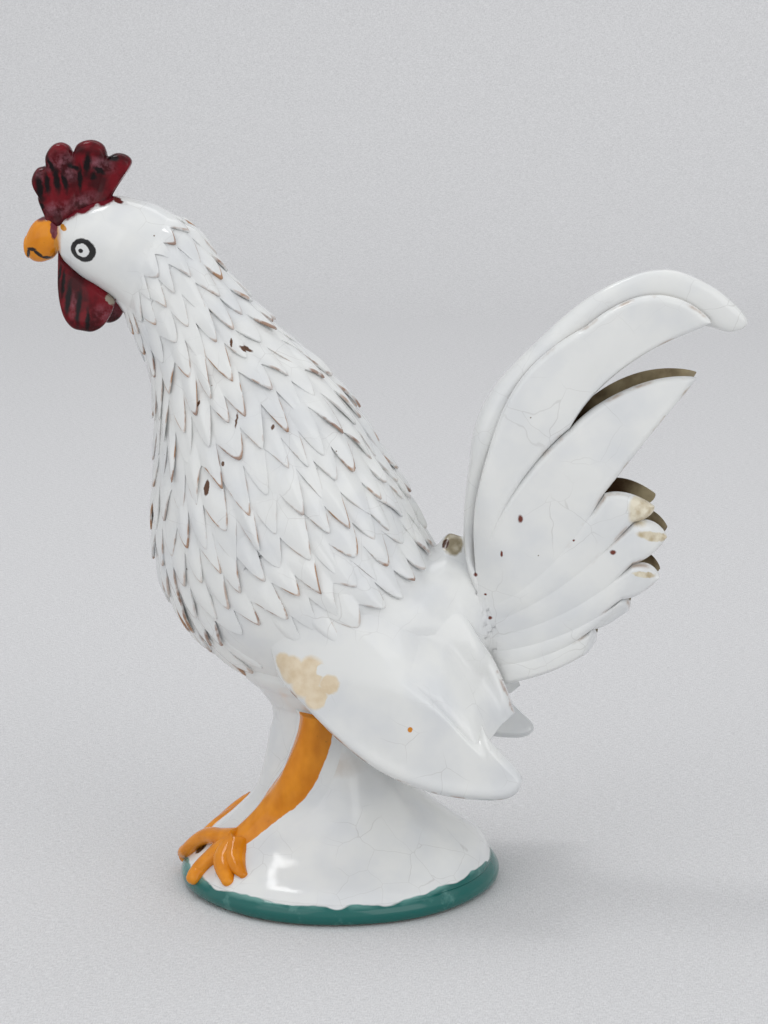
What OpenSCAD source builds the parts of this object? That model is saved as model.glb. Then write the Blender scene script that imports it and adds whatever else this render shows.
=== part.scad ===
// Standing rooster figurine in white glazed earthenware.
// A hollow body pressed in two halves stands on a thrown mound with a rolled foot ring.
// Comb, wattles, beak, legs, toes, wings, tail feathers and rows of small feathers are
// separate pieces of clay, each shaped to the surface that it is luted to.
// The rooster faces -X, its left side is -Y, and Z = 0 is the table.

/* [Base] */
// Diameter of the foot ring
base_d = 140; // [126:1:154]
// Height of the foot ring
ring_h = 9; // [7:0.5:11]
// Radial width of the foot ring
ring_w = 12; // [10:0.5:14]
// Step from the edge of the foot ring in to the mound
ring_step = 3.5; // [2:0.5:5]
// Height of the belly above the table
belly_z = 77; // [72:1:84]
// Wall of the hollow mound
mound_wall = 6; // [4:0.5:8]
// How far the neck of the mound reaches forward of the centre
mound_front = 28; // [24:1:32]
// How far the neck of the mound reaches back of the centre
mound_back = 20; // [16:1:26]
// Width of the neck of the mound
mound_top_w = 52; // [44:1:60]

/* [Body] */
// Length of the body, from the breast to the rump
body_l = 150; // [136:1:164]
// Height of the body, from the belly to the nape
body_h = 216; // [196:1:236]
// Greatest width of the body
body_w = 108; // [98:1:118]
// How far the breast stands forward of the centre of the base
breast_x = 83; // [76:1:90]
// How far the feathers stand off the body
feather_stand = 2.8; // [2.2:0.1:3.4]
// Wall of the hollow body
body_wall = 6; // [4:0.5:8]
// Diameter of the kiln vent in the rump
vent_d = 5; // [3:0.5:7]

/* [Head] */
// Length of the head, from the neck joint to the beak
head_l = 35; // [31:1:39]
// Height of the head
head_h = 40; // [36:1:44]
// Width of the head
head_w = 38; // [34:1:42]
// Length of the beak
beak_l = 15; // [12:0.5:18]
// Height of the beak
beak_h = 17; // [14:0.5:20]
// Width of the beak
beak_w = 16; // [13:0.5:19]
// Radius of the comb, from its centre on the skull to its lobes
comb_r = 28; // [25:1:31]
// Thickness of the comb
comb_t = 9; // [7:0.5:11]
// Length of the comb along the skull
comb_l = 28; // [24:1:32]
// Length of a wattle along the jaw
wattle_l = 25; // [21:1:29]
// How far a wattle hangs below the jaw
wattle_drop = 24; // [20:1:28]
// Thickness of a wattle
wattle_t = 6; // [4:0.5:8]
// Distance from the middle of the jaw to each wattle
wattle_y = 7; // [6:0.5:9]
// How much further out the lower end of a wattle stands
wattle_splay = 5; // [3:0.5:8]

/* [Feathers] */
// Number of feather rows round the neck and the body
feather_rows = 13; // [11:1:15]
// Width of a feather on the neck
neck_feather_w = 9.5; // [8:0.5:12]
// Width of a feather on the body
body_feather_w = 14; // [12:0.5:17]
// Thickness of a feather along its quill line
feather_t = 1.7; // [1.3:0.1:2.2]
// Thickness of a feather at its edges
feather_edge_t = 1.2; // [0.9:0.1:1.5]
// Thickness of a feather at its root
feather_root_t = 0.7; // [0.5:0.1:1]

/* [Wings] */
// Length of a wing
wing_l = 106; // [96:1:116]
// Height of a wing
wing_h = 65; // [59:1:71]
// Thickness of a wing
wing_t = 7; // [5:0.5:9]
// How far the front of a wing lies behind the front of the breast
wing_back = 59; // [54:1:64]
// How far a wing hangs below the belly
wing_drop = 24; // [19:1:29]
// How deep the flank is pressed into the back of a wing
wing_press = 0.5; // [0.5:0.5:3]
// How much further out a wing stands at its tip than at its shoulder
wing_flare = 8; // [4:0.5:12]
// Length of a saddle lobe, which covers the root of the tail
lobe_l = 38; // [34:1:42]
// Height of a saddle lobe
lobe_h = 55; // [50:1:60]
// Thickness of a saddle lobe
lobe_t = 6; // [4:0.5:8]

/* [Tail] */
// Length of the tail along X
tail_l = 118; // [106:1:130]
// Height of the tail
tail_h = 182; // [166:1:198]
// Thickness of a tail feather
tail_t = 5; // [4:0.5:6.5]
// Half of the hollow between the two sheets of the tail at the root
tail_half = 15; // [12:0.5:18]
// Thickness of the top sickle feather at its tip
sickle_t = 9; // [7:0.5:11]
// How far the root of the tail lies ahead of the end of the rump
tail_in = 13; // [10:0.5:16]

/* [Legs] */
// Greatest width of a leg
leg_w = 14.5; // [12:0.5:17]
// Width of a leg at the ankle
ankle_w = 10; // [8:0.5:12]
// How far a leg lies forward of the centre at the belly
leg_top_x = 8; // [5:0.5:12]
// Distance from the middle to the outer side of a leg at the belly
leg_y = 28; // [26:1:30]
// How far the ankles stand in from the edge of the base
ankle_in = 16.5; // [14:0.5:19]
// Angle of each ankle from straight ahead
ankle_angle = 38; // [34:1:42]
// Length of the middle toe
toe_l = 17; // [14:0.5:19]
// Diameter of a toe
toe_d = 7; // [5:0.5:8]

/* [Hidden] */
$fn = 64;
// Gap between a piece and the surface that it is luted to
seat_gap = 0.3;
// Extra gap under a flat-backed piece on a round surface
round_gap = 0.4;
// Room between one row of feathers and the row that it covers
shingle_gap = 0.25;
// Overrun of a cut past a surface
overrun = 2;

// One row for each section of the bird from the neck joint to the rump, over its feathers:
// the point on the back, the point on the breast or belly, and the half width. Shares of
// body_l and body_h, from the front of the breast and from the belly, and of half of body_w.
body_shares = [
    [0.06, 1.00, -0.07, 0.81, 0.35],
    [0.15, 0.96, -0.02, 0.74, 0.44],
    [0.26, 0.87, 0.02, 0.64, 0.54],
    [0.38, 0.785, 0.02, 0.52, 0.65],
    [0.51, 0.705, 0.01, 0.40, 0.77],
    [0.62, 0.61, 0.02, 0.295, 0.89],
    [0.695, 0.52, 0.07, 0.205, 0.96],
    [0.755, 0.45, 0.155, 0.13, 1.00],
    [0.80, 0.38, 0.27, 0.075, 0.98],
    [0.835, 0.325, 0.42, 0.025, 0.91],
    [0.875, 0.30, 0.585, 0.00, 0.78],
    [0.915, 0.285, 0.75, 0.005, 0.63],
    [0.95, 0.275, 0.89, 0.025, 0.48],
    [0.98, 0.255, 0.98, 0.065, 0.34],
    [0.99, 0.21, 1.00, 0.11, 0.19]
];

// The head from the neck joint to the beak, the same way: shares of head_l forward of the
// neck joint's centre and of head_h above it, and of half of head_w.
head_shares = [
    [0.00, 0.60, 0.49, -0.36, 0.98],
    [0.31, 0.64, 0.69, -0.26, 0.90],
    [0.60, 0.58, 0.83, -0.16, 0.75],
    [0.83, 0.48, 0.94, -0.06, 0.58],
    [0.97, 0.38, 1.00, 0.03, 0.40]
];

// The beak from the head to its tip: shares of beak_l, beak_h and half of beak_w.
beak_shares = [
    [0.30, 0.53, 0.23, -0.56, 1.00],
    [0.70, 0.38, 0.57, -0.65, 0.88],
    [0.93, 0.09, 0.83, -0.59, 0.62],
    [1.00, -0.15, 0.97, -0.38, 0.30]
];

// Edge of the comb seen from its centre: the angle, and the share of comb_r.
comb_shares = [
    [192, 0.62], [182, 0.66], [173, 0.70], [166, 0.72], [158, 0.84], [151, 0.88],
    [142, 0.88], [134, 0.82], [127, 0.93], [117, 1.00], [109, 0.99], [103, 0.91],
    [100, 0.81], [95, 0.91], [87, 0.97], [79, 0.99], [71, 0.96], [66, 0.89],
    [62, 0.83], [57, 0.93], [50, 1.00], [43, 1.01], [39, 0.94], [35, 0.74],
    [30, 0.54], [20, 0.42]
];

// Lower edge of a wattle: share of wattle_l back from its front, and of wattle_drop.
wattle_shares = [
    [0.00, 0.20], [0.04, 0.48], [0.12, 0.74], [0.26, 0.91], [0.44, 0.96],
    [0.62, 0.97], [0.80, 0.86], [0.94, 0.62], [1.00, 0.36]
];

// Height, then forward, backward and sideways reach of the mound: 1 is the foot, 0 the neck.
mound_shares = [
    [0.00, 1.00, 1.00, 1.00],
    [0.06, 0.90, 0.98, 0.88],
    [0.16, 0.74, 0.90, 0.60],
    [0.28, 0.50, 0.65, 0.35],
    [0.43, 0.26, 0.35, 0.17],
    [0.60, 0.14, 0.15, 0.07],
    [0.81, 0.07, 0.04, 0.02],
    [1.00, 0.00, 0.00, 0.00]
];

// Wing from the shoulder to the tip: a point on the upper edge and one on the lower edge,
// as shares of wing_l and wing_h, and the share of wing_t.
wing_shares = [
    [0.00, 0.90, 0.02, 0.74, 0.45],
    [0.13, 0.94, 0.12, 0.60, 0.70],
    [0.32, 0.89, 0.28, 0.35, 0.90],
    [0.51, 0.85, 0.46, 0.15, 1.00],
    [0.68, 0.72, 0.64, 0.035, 1.00],
    [0.82, 0.50, 0.79, 0.00, 1.00],
    [0.93, 0.31, 0.91, 0.01, 0.90],
    [0.985, 0.21, 0.97, 0.05, 0.65],
    [1.00, 0.15, 0.995, 0.11, 0.35]
];

// Saddle lobe from its root to its tip, the same way, in lobe_l, lobe_h and lobe_t.
lobe_shares = [
    [0.28, 0.98, 0.00, 0.74, 0.50],
    [0.46, 0.85, 0.16, 0.56, 0.85],
    [0.64, 0.64, 0.34, 0.36, 1.00],
    [0.82, 0.42, 0.56, 0.18, 1.00],
    [0.96, 0.20, 0.76, 0.04, 0.90],
    [1.00, 0.09, 0.90, 0.02, 0.50]
];

// Joints between neighbouring tail feathers, from the leading edge down to the lowest edge:
// root, two pulls and notch of each curve, as shares of tail_l and tail_h from the tail root.
tail_joint_shares = [
    [[0.05, 0.25], [0.01, 0.56], [0.16, 0.77], [0.43, 0.865]],
    [[0.05, 0.22], [0.08, 0.37], [0.22, 0.55], [0.38, 0.63]],
    [[0.04, 0.165], [0.20, 0.22], [0.39, 0.34], [0.51, 0.48]],
    [[0.04, 0.14], [0.26, 0.20], [0.43, 0.30], [0.62, 0.41]],
    [[0.04, 0.11], [0.29, 0.155], [0.46, 0.23], [0.61, 0.31]],
    [[0.04, 0.08], [0.29, 0.11], [0.43, 0.165], [0.57, 0.225]],
    [[0.04, 0.05], [0.26, 0.07], [0.37, 0.11], [0.47, 0.155]],
    [[0.04, 0.00], [0.20, 0.015], [0.32, 0.045], [0.44, 0.09]]
];

// Tip of each tail feather, how far its upper and its lower edge bulge upwards there, and
// how much of the hollow is left between its tip and its twin's.
tail_tip_shares = [
    [0.87, 0.875, 0.12, 0.13, 1.00], [0.83, 0.745, 0.12, 0.06, 0.90],
    [0.69, 0.445, 0.06, 0.02, 0.95], [0.735, 0.37, 0.06, -0.02, 0.60],
    [0.705, 0.27, 0.06, -0.05, 0.45], [0.60, 0.19, 0.04, -0.05, 0.35],
    [0.49, 0.12, 0.04, -0.06, 0.35]
];

// The top sickle feather from the rump to its tip: upper edge, lower edge, and the share
// of the hollow that it fills.
sickle_shares = [
    [0.00, 0.35, 0.05, 0.34, 0.55], [0.01, 0.49, 0.09, 0.46, 0.85],
    [0.03, 0.61, 0.125, 0.56, 1.00], [0.10, 0.70, 0.19, 0.65, 1.00],
    [0.21, 0.785, 0.29, 0.735, 1.00], [0.34, 0.875, 0.40, 0.80, 1.00],
    [0.46, 0.935, 0.52, 0.85, 1.00], [0.60, 0.975, 0.64, 0.87, 1.00],
    [0.74, 0.985, 0.76, 0.865, 1.00], [0.87, 0.955, 0.86, 0.86, 0.95],
    [0.95, 0.915, 0.93, 0.85, 0.80], [0.99, 0.885, 0.975, 0.855, 0.60],
    [1.00, 0.87, 0.99, 0.862, 0.35]
];

// Leg from the belly to the ankle: share of the way, and the share of leg_w.
leg_shares = [
    [0.00, 0.96], [0.20, 0.97], [0.40, 0.98], [0.58, 1.00], [0.75, 0.96], [0.90, 0.86], [1.00, 0.70]
];

// Angle of each toe from straight ahead, its share of toe_l, and the height of its arch as
// a share of toe_d.
toe_shares = [[-45, 1.55, 0.25], [14, 0.92, 0], [68, 0.50, 0], [114, 0.40, 0]];

// Numbers of facets, which have no size of their own
around = 20;
along = 20;
mound_around = 28;
round_facets = 24;

side_names = ["left", "right"];
tail_names = [
    "sickle_feather", "upper_tail_feather", "second_tail_feather", "third_tail_feather",
    "fourth_tail_feather", "fifth_tail_feather", "lowest_tail_feather"
];
toe_names = ["inner_toe", "middle_toe", "outer_toe", "rear_toe"];
row_names = [for (k = [1:feather_rows]) str("feather_row_", k < 10 ? "0" : "", k)];

// Vectors and curves

function mix(a, b, f) = a + (b - a) * f;
function ease(f) = let (g = min(max(f, 0), 1)) g * g * (3 - 2 * g);

// A smooth curve through rows of numbers, at place u counted in rows.
function through(rows, u) =
    let (
        last = len(rows) - 1,
        i = min(floor(max(u, 0)), last - 1),
        f = u - i,
        a = rows[max(i - 1, 0)],
        b = rows[i],
        c = rows[i + 1],
        d = rows[min(i + 2, last)]
    )
    b + (c - a) * f / 2
    + (2 * a - 5 * b + 4 * c - d) * f * f / 2
    + (3 * b - a - 3 * c + d) * f * f * f / 2;

// A point at share f of a curve that four points pull.
function curve(p, f) =
    let (g = 1 - f)
    g * g * g * p[0] + 3 * g * g * f * p[1] + 3 * g * f * f * p[2] + f * f * f * p[3];

// Closed solids

function triple(a, b, c) = a * cross(b, c);
function volume_of(points, faces) =
    [for (f = faces) triple(points[f[0]], points[f[1]], points[f[2]])]
    * [for (f = faces) 1];
function reversed(f) = [f[2], f[1], f[0]];

// A polyhedron whose faces all look outwards, whichever way they were listed.
module closed(points, faces) {
    outward = volume_of(points, faces) > 0 ? [for (f = faces) reversed(f)] : faces;
    polyhedron(points = points, faces = outward, convexity = 8);
}

// Faces of a tube of n rings with m points each, closed at both ends.
function tube_faces(n, m, first = 0) = concat(
    [for (i = [0:n - 2]) for (j = [0:m - 1])
        let (
            a = first + i * m + j,
            b = first + i * m + (j + 1) % m
        )
        each [[a, b, b + m], [a, b + m, a + m]]],
    [for (j = [1:m - 2]) [first, first + j + 1, first + j]],
    [for (j = [1:m - 2]) let (e = first + (n - 1) * m) [e, e + j, e + j + 1]]
);

module tube(rings) {
    closed([for (r = rings) each r], tube_faces(len(rings), len(rings[0])));
}

// Faces of a grid of n by m points.
function grid_faces(n, m, first = 0, turned = false) =
    [for (i = [0:n - 2]) for (j = [0:m - 2])
        let (a = first + i * m + j)
        each turned
            ? [[a, a + m + 1, a + 1], [a, a + m, a + m + 1]]
            : [[a, a + 1, a + m + 1], [a, a + m + 1, a + m]]];

// Body and head surface: a section is [centre, direction to the back, half height, half width]

function section_of(r) =
    let (back = [r[0], r[1]], front = [r[2], r[3]], span = norm(back - front))
    [(back + front) / 2, (back - front) / span, span / 2, r[4]];
function section_at(rows, u) = section_of(through(rows, u));

// The point at angle v from the back, standing off the surface.
function skin(s, v, off = 0) =
    let (
        across = [cos(v) * s[3], sin(v) * s[2]],
        out = across * off / norm(across),
        up = s[2] * cos(v) + out[0],
        p = s[0] + s[1] * up
    )
    [p[0], s[3] * sin(v) + out[1], p[1]];
function ring_of(s, n = around) = [for (j = [0:n - 1]) skin(s, 360 * j / n)];

// The clay under the feathers lies feather_stand inside the outline, but not at the neck
// joint and on the rump, which are bare. Shares of the way from the neck to the rump.
feathered_from_share = 0.18;
feathered_to_share = 0.607;
rump_from_share = 0.75;
body_end = len(body_shares) - 1;
function outline_row(i) =
    let (r = body_shares[i])
    [
        r[0] * body_l - breast_x, belly_z + r[1] * body_h,
        r[2] * body_l - breast_x, belly_z + r[3] * body_h,
        r[4] * body_w / 2
    ];
function body_row(i) =
    let (
        r = outline_row(i),
        span = [r[0] - r[2], r[1] - r[3]],
        t = i / body_end,
        past_rows = (t - feathered_to_share) / (rump_from_share - feathered_to_share),
        inset = feather_stand * ease(t / feathered_from_share) * (1 - ease(past_rows)),
        step = inset * span / norm(span)
    )
    [r[0] - step[0], r[1] - step[1], r[2] + step[0], r[3] + step[1], r[4] - inset];
body_rows = [for (i = [0:body_end]) body_row(i)];
neck = section_of(body_rows[0])[0];
head_rows = concat([body_rows[0]], [for (r = head_shares) [
    neck[0] - r[0] * head_l, neck[1] + r[1] * head_h,
    neck[0] - r[2] * head_l, neck[1] + r[3] * head_h,
    r[4] * head_w / 2
]]);
face = section_of(head_rows[len(head_rows) - 1])[0];
beak_rows = concat([head_rows[len(head_rows) - 1]], [for (r = beak_shares) [
    face[0] - r[0] * beak_l, face[1] + r[1] * beak_h,
    face[0] - r[2] * beak_l, face[1] + r[3] * beak_h,
    r[4] * beak_w / 2
]]);

// Sections close enough together to measure the surface from
body_cuts = [for (i = [0:3 * body_end]) section_at(body_rows, i / 3)];
head_cuts = [for (i = [0:3 * (len(head_rows) - 1)]) section_at(head_rows, i / 3)];
beak_cuts = [for (i = [0:3 * (len(beak_rows) - 1)]) section_at(beak_rows, i / 3)];

// How far a point of the XZ plane lies past a section.
function past(p, s) = (p - s[0]) * [s[1][1], -s[1][0]];

function half_width_between(p, s, t) =
    let (
        a = past(p, s),
        b = past(p, t),
        f = abs(a - b) > 0 ? a / (a - b) : 0,
        m = mix(s, t, f),
        up = (p - m[0]) * m[1] / norm(m[1]) / m[2]
    )
    abs(up) < 1 ? m[3] * sqrt(1 - up * up) : 0;

// Half width of a body, or of a head whose sections run the other way, at a point of XZ.
function half_width(cuts, p) =
    let (widths = [for (i = [0:len(cuts) - 2])
        if (past(p, cuts[i]) * past(p, cuts[i + 1]) <= 0)
            half_width_between(p, cuts[i], cuts[i + 1])])
    len(widths) == 0 ? 0 : max(widths);

// Height at which the line through x and y leaves the surface, between an inner and an outer height.
function leave(cuts, x, y, inner, outer, n = 12) =
    let (mid = (inner + outer) / 2)
    n == 0 ? mid
    : half_width(cuts, [x, mid]) > abs(y) ? leave(cuts, x, y, mid, outer, n - 1)
    : leave(cuts, x, y, inner, mid, n - 1);

body_core_share = 0.18;
function belly_at(x, y) = leave(body_cuts, x, y, belly_z + body_core_share * body_h, belly_z - overrun);
function rump_at(x, y) = leave(body_cuts, x, y, belly_z + body_core_share * body_h, belly_z + body_h);
function jaw_at(x, y) = leave(head_cuts, x, y, face[1], face[1] - head_h);
function skull_at(x, y) = max(
    leave(head_cuts, x, y, face[1], face[1] + head_h),
    leave(beak_cuts, x, y, face[1], face[1] + beak_h)
);

// Base

foot_r = base_d / 2;
mound_r = foot_r - ring_step;

module foot_ring() {
    color("seagreen")
    rotate_extrude() {
        translate([foot_r - ring_w, 0])
            square([ring_w - ring_h / 2, ring_h]);
        translate([foot_r - ring_h / 2, ring_h / 2])
            circle(d = ring_h, $fn = round_facets);
    }
}

function mound_reach(h) =
    let (
        columns = [for (c = [1:3]) lookup(h, [for (r = mound_shares) [r[0], r[c]]]) ]
    )
    [
        mix(mound_front, mound_r, columns[0]),
        mix(mound_back, mound_r, columns[1]),
        mix(mound_top_w / 2, mound_r, columns[2])
    ];
function mound_point(h, a, wall) =
    let (reach = mound_reach(h) - [wall, wall, wall])
    [cos(a) * (cos(a) < 0 ? reach[0] : reach[1]), sin(a) * reach[2], mix(ring_h, belly_z, h)];
function mound_ring(h, wall) =
    [for (j = [0:mound_around - 1]) mound_point(h, 360 * j / mound_around, wall)];
function mound_seat(wall) =
    [for (p = mound_ring(1, wall)) [p[0], p[1], belly_at(p[0], p[1]) - seat_gap]];

// How far outside the mound a point lies: below 1 is inside.
function mound_share(p) =
    let (reach = mound_reach((p[2] - ring_h) / (belly_z - ring_h)))
    norm([p[0] / (p[0] < 0 ? reach[0] : reach[1]), p[1] / reach[2]]);
function mound_top(x, y, low, high, n = 12) =
    let (mid = (low + high) / 2)
    n == 0 ? mid
    : mound_share([x, y, mid]) < 1 ? mound_top(x, y, mid, high, n - 1)
    : mound_top(x, y, low, mid, n - 1);

module mound() {
    levels = [for (r = mound_shares) if (r[0] < 1) r[0]];
    outer = concat([for (h = levels) mound_ring(h, 0)], [mound_seat(0)]);
    inner = concat([for (h = levels) mound_ring(h, mound_wall)], [mound_seat(mound_wall)]);
    rings = concat(outer, [for (i = [len(inner) - 1:-1:0]) inner[i]]);
    n = len(rings);
    m = mound_around;
    walls = [for (i = [0:n - 1]) for (j = [0:m - 1])
        let (
            a = i * m + j,
            b = i * m + (j + 1) % m,
            c = (i + 1) % n * m + j,
            d = (i + 1) % n * m + (j + 1) % m
        )
        each [[a, b, d], [a, d, c]]];
    color("whitesmoke") closed([for (r = rings) each r], walls);
}

// Body

// A half ring from the back round one side to the belly.
function half_ring(s, wall) =
    let (thin = [s[0], s[1], s[2] - wall, s[3] - wall])
    [for (j = [0:around / 2]) skin(thin, 360 * j / around)];
function end_ring(s) = [for (j = [0:around / 2]) [s[0][0], 0, s[0][1]]];

module body_half() {
    m = around / 2 + 1;
    n = along + 2;
    inner_end = body_end - 1;
    outer = concat(
        [for (i = [0:along]) half_ring(section_at(body_rows, body_end * i / along), 0)],
        [end_ring(section_at(body_rows, body_end))]
    );
    inner = concat(
        [for (i = [0:along])
            half_ring(section_at(body_rows, inner_end * i / along), body_wall)],
        [end_ring(section_at(body_rows, inner_end))]
    );
    points = concat([for (r = outer) each r], [for (r = inner) each r]);
    seams = [for (j = [0, m - 1]) for (i = [0:n - 2])
        let (a = i * m + j, c = a + n * m)
        each j == 0 ? [[a, c + m, c], [a, a + m, c + m]] : [[a, c, c + m], [a, c + m, a + m]]];
    neck_rim = [for (j = [0:m - 2])
        let (c = n * m + j)
        each [[j, c, c + 1], [j, c + 1, j + 1]]];
    faces = concat(
        grid_faces(n, m), grid_faces(n, m, n * m, turned = true), seams, neck_rim
    );
    closed(points, [for (f = faces) if (distinct(points, f)) f]);
}
function distinct(points, f) =
    points[f[0]] != points[f[1]] && points[f[1]] != points[f[2]] && points[f[2]] != points[f[0]];

// The vent opens in the hollow between the back and the tail, beside the seam of the left half.
vent_share = 0.68;
vent_angle = 16;
vent_lean = 38;
module left_body_half() {
    at = skin(section_at(body_rows, vent_share * body_end), -vent_angle);
    color("whitesmoke")
    difference() {
        mirror([0, 1, 0]) body_half();
        translate(at) rotate([vent_angle, vent_lean, 0])
            cylinder(d = vent_d, h = 2 * (body_wall + overrun), center = true, $fn = round_facets);
    }
}
module right_body_half() {
    color("whitesmoke") body_half();
}

module head() {
    last = len(head_rows) - 1;
    color("whitesmoke")
        tube([for (i = [0:2 * last]) ring_of(section_at(head_rows, i / 2))]);
}

module beak() {
    last = len(beak_rows) - 1;
    color("goldenrod")
        tube([for (i = [0:2 * last]) ring_of(section_at(beak_rows, i / 2), around / 2)]);
}

// The comb is a slab with a rounded rim, as thick in the middle as comb_t.
comb_back_share = 0.33;
comb_centre_share = 0.45;
comb_section_shares = [
    [0, 0.5], [0.12, 0.8], [0.5, 1], [1, 0.75], [1, -0.75], [0.5, -1], [0.12, -0.8], [0, -0.5]
];
module comb() {
    foot = neck[0] - comb_back_share * head_l;
    centre_x = foot - comb_l * comb_centre_share;
    centre = [centre_x, skull_at(centre_x, 0)];
    last = len(comb_shares) - 1;
    rings = [for (i = [0:last])
        let (
            c = comb_shares[i],
            rim = centre + comb_r * c[1] * [cos(c[0]), sin(c[0])],
            x = foot - comb_l * (1 - i / last),
            base = [x, skull_at(x, 0) + seat_gap]
        )
        [for (q = comb_section_shares)
            let (p = mix(rim, base, q[0]))
            [p[0], q[1] * comb_t / 2, p[1]]]];
    color("firebrick") tube(rings);
}

// Leaves: flat pieces between an upper and a lower edge, with their inner face on a seat.
// Each row of edges is [upper point, lower point, thickness], and seat gives the inner Y.

function leaf_ring(row, seat, outside, inside) = concat(
    [for (q = outside)
        let (p = mix(row[0], row[1], q[0]))
        [p[0], seat(p[0], p[1]) + row[2] * q[1], p[1]]],
    [for (t = inside)
        let (p = mix(row[0], row[1], t))
        [p[0], seat(p[0], p[1]), p[1]]]
);
pad_outside_shares = [[0, 0.35], [0.12, 0.85], [0.35, 1], [0.65, 1], [0.88, 0.85], [1, 0.35]];
pad_inside_shares = [0.97, 0.74, 0.5, 0.26, 0.03];

module leaf(rows, seat, outside = pad_outside_shares, inside = pad_inside_shares) {
    tube([for (r = rows) leaf_ring(r, seat, outside, inside)]);
}

module wattle() {
    jaw_x = face[0];
    rows = [for (w = wattle_shares)
        let (
            x = jaw_x + w[0] * wattle_l,
            top = jaw_at(max(x, jaw_x + wattle_t / 4), wattle_y - wattle_t / 2) - seat_gap
        )
        [[x, top], [x, jaw_at(jaw_x + wattle_l / 4, 0) - w[1] * wattle_drop], wattle_t]];
    hang = function (x, z)
        wattle_y - wattle_t / 2 + wattle_splay * (jaw_at(jaw_x + wattle_l / 4, 0) - z) / wattle_drop;
    color("firebrick") leaf(rows, hang);
}

// Wings

wing_x = breast_x - wing_back;
wing_z = belly_z - wing_drop;
wing_rows = [for (w = wing_shares) [
    [w[0] * wing_l - wing_x, wing_z + w[1] * wing_h],
    [w[2] * wing_l - wing_x, wing_z + w[3] * wing_h],
    w[4] * wing_t
]];

// The back of a wing is a plane that flares out to the tip, with the flank pressed into it.
function wing_flare_at(x) = wing_flare * (x + wing_x) / wing_l;
flank_reach = max([for (w = wing_rows) half_width(body_cuts, w[0]) - wing_flare_at(w[0][0])]);
function wing_seat(x, z) = max(
    half_width(body_cuts, [x, z]) + seat_gap + round_gap,
    flank_reach - wing_press + wing_flare_at(x)
);
module wing() {
    color("whitesmoke") leaf(wing_rows, function (x, z) wing_seat(x, z));
}

tail_x = body_l - breast_x - tail_in;

// The lobe starts on the flank and rides up over the roots of the tail feathers.
lobe_back = tail_x + lobe_l / 2 + tail_t;
lobe_rows = [for (w = lobe_shares) [
    [lobe_back - lobe_l + w[0] * lobe_l, belly_z + w[1] * lobe_h],
    [lobe_back - lobe_l + w[2] * lobe_l, belly_z + w[3] * lobe_h],
    w[4] * lobe_t
]];
function lobe_seat(x, z) =
    let (
        lift = tail_t + seat_gap + round_gap,
        run = 2 * tail_t,
        flank = max([for (near = [x, x - tail_t]) half_width(body_cuts, [near, z])])
    )
    max(flank, tail_half) + seat_gap + round_gap
    + lift * ease((x - tail_x + run + tail_t / 2) / run);
module saddle_lobe() {
    color("whitesmoke") leaf(lobe_rows, function (x, z) lobe_seat(x, z));
}

// Tail

tail_rise_share = 0.06;
tail_z = belly_z + body_h * tail_rise_share;
function tail_point(s) = [tail_x + s[0] * tail_l, tail_z + s[1] * tail_h];
function joint_curve(k) = [for (s = tail_joint_shares[k]) tail_point(s)];

notch_share = 0.6;
tip_width_share = 0.8;
tip_round_share = 1.1;
tip_thin_share = 0.5;
// Way across a tip whose edges have met
tip_across_shares = [-0.4, 0.9];
tail_stations = [0, 0.15, 0.3, 0.45, 0.6, 0.7, 0.8, 0.9, 0.97, 1];

// An edge of feather k: it follows joint j up to the notch, and then runs free to the tip.
function feather_edge(k, j, s, bulge) =
    let (
        tip = tail_point(tail_tip_shares[k]),
        notch = joint_curve(j)[3],
        f = (s - notch_share) / (1 - notch_share),
        ahead = tip - notch,
        bow = bulge * [-ahead[1], ahead[0]] * 4 * f * (1 - f)
    )
    s <= notch_share ? curve(joint_curve(j), s / notch_share) : mix(notch, tip, f) + bow;

// Row of a tail feather at station s; it never gets narrower than its rounded tip.
function tail_row(k, s) =
    let (
        up = feather_edge(k, k, s, tail_tip_shares[k][2]),
        low = feather_edge(k, k + 1, s, tail_tip_shares[k][3]),
        least = tail_t * tip_width_share * sqrt(tip_round_share - s),
        across = up - low,
        apart = norm(across) < least ? least * tip_across_shares : across / 2,
        trim = (norm(apart) - seat_gap / 2) / norm(apart),
        middle = (up + low) / 2
    )
    [middle + apart * trim, middle - apart * trim, tail_t * (1 - tip_thin_share * ease(4 * s - 3))];

// Half of the hollow inside the tail, which narrows from the root to the tip of the sickle.
hollow_start_share = 0.4;
function hollow_at(x, z) =
    let (
        reach = norm(tail_point(sickle_shares[len(sickle_shares) - 1]) - [tail_x, tail_z]),
        f = (norm([x - tail_x, z - tail_z]) / reach - hollow_start_share) / (1 - hollow_start_share)
    )
    mix(tail_half, sickle_t / 2, ease(f));

// Inner face of a tail feather: on the rump at its root, then closing towards its twin.
function tail_seat(k, s, x, z) =
    max(
        half_width(body_cuts, [x, z]) + seat_gap + round_gap,
        hollow_at(x, z) * mix(1, tail_tip_shares[k][4], ease(s)) + seat_gap
    );

blade_outside_shares = [[0, 0.7], [0.1, 0.95], [0.5, 1], [0.88, 0.75], [1, 0.4]];
blade_inside_shares = [1, 0.5, 0];
module tail_feather(k) {
    color("whitesmoke")
    tube([for (s = tail_stations)
        leaf_ring(tail_row(k, s), function (x, z) tail_seat(k, s, x, z),
            blade_outside_shares, blade_inside_shares)]);
}

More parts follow.
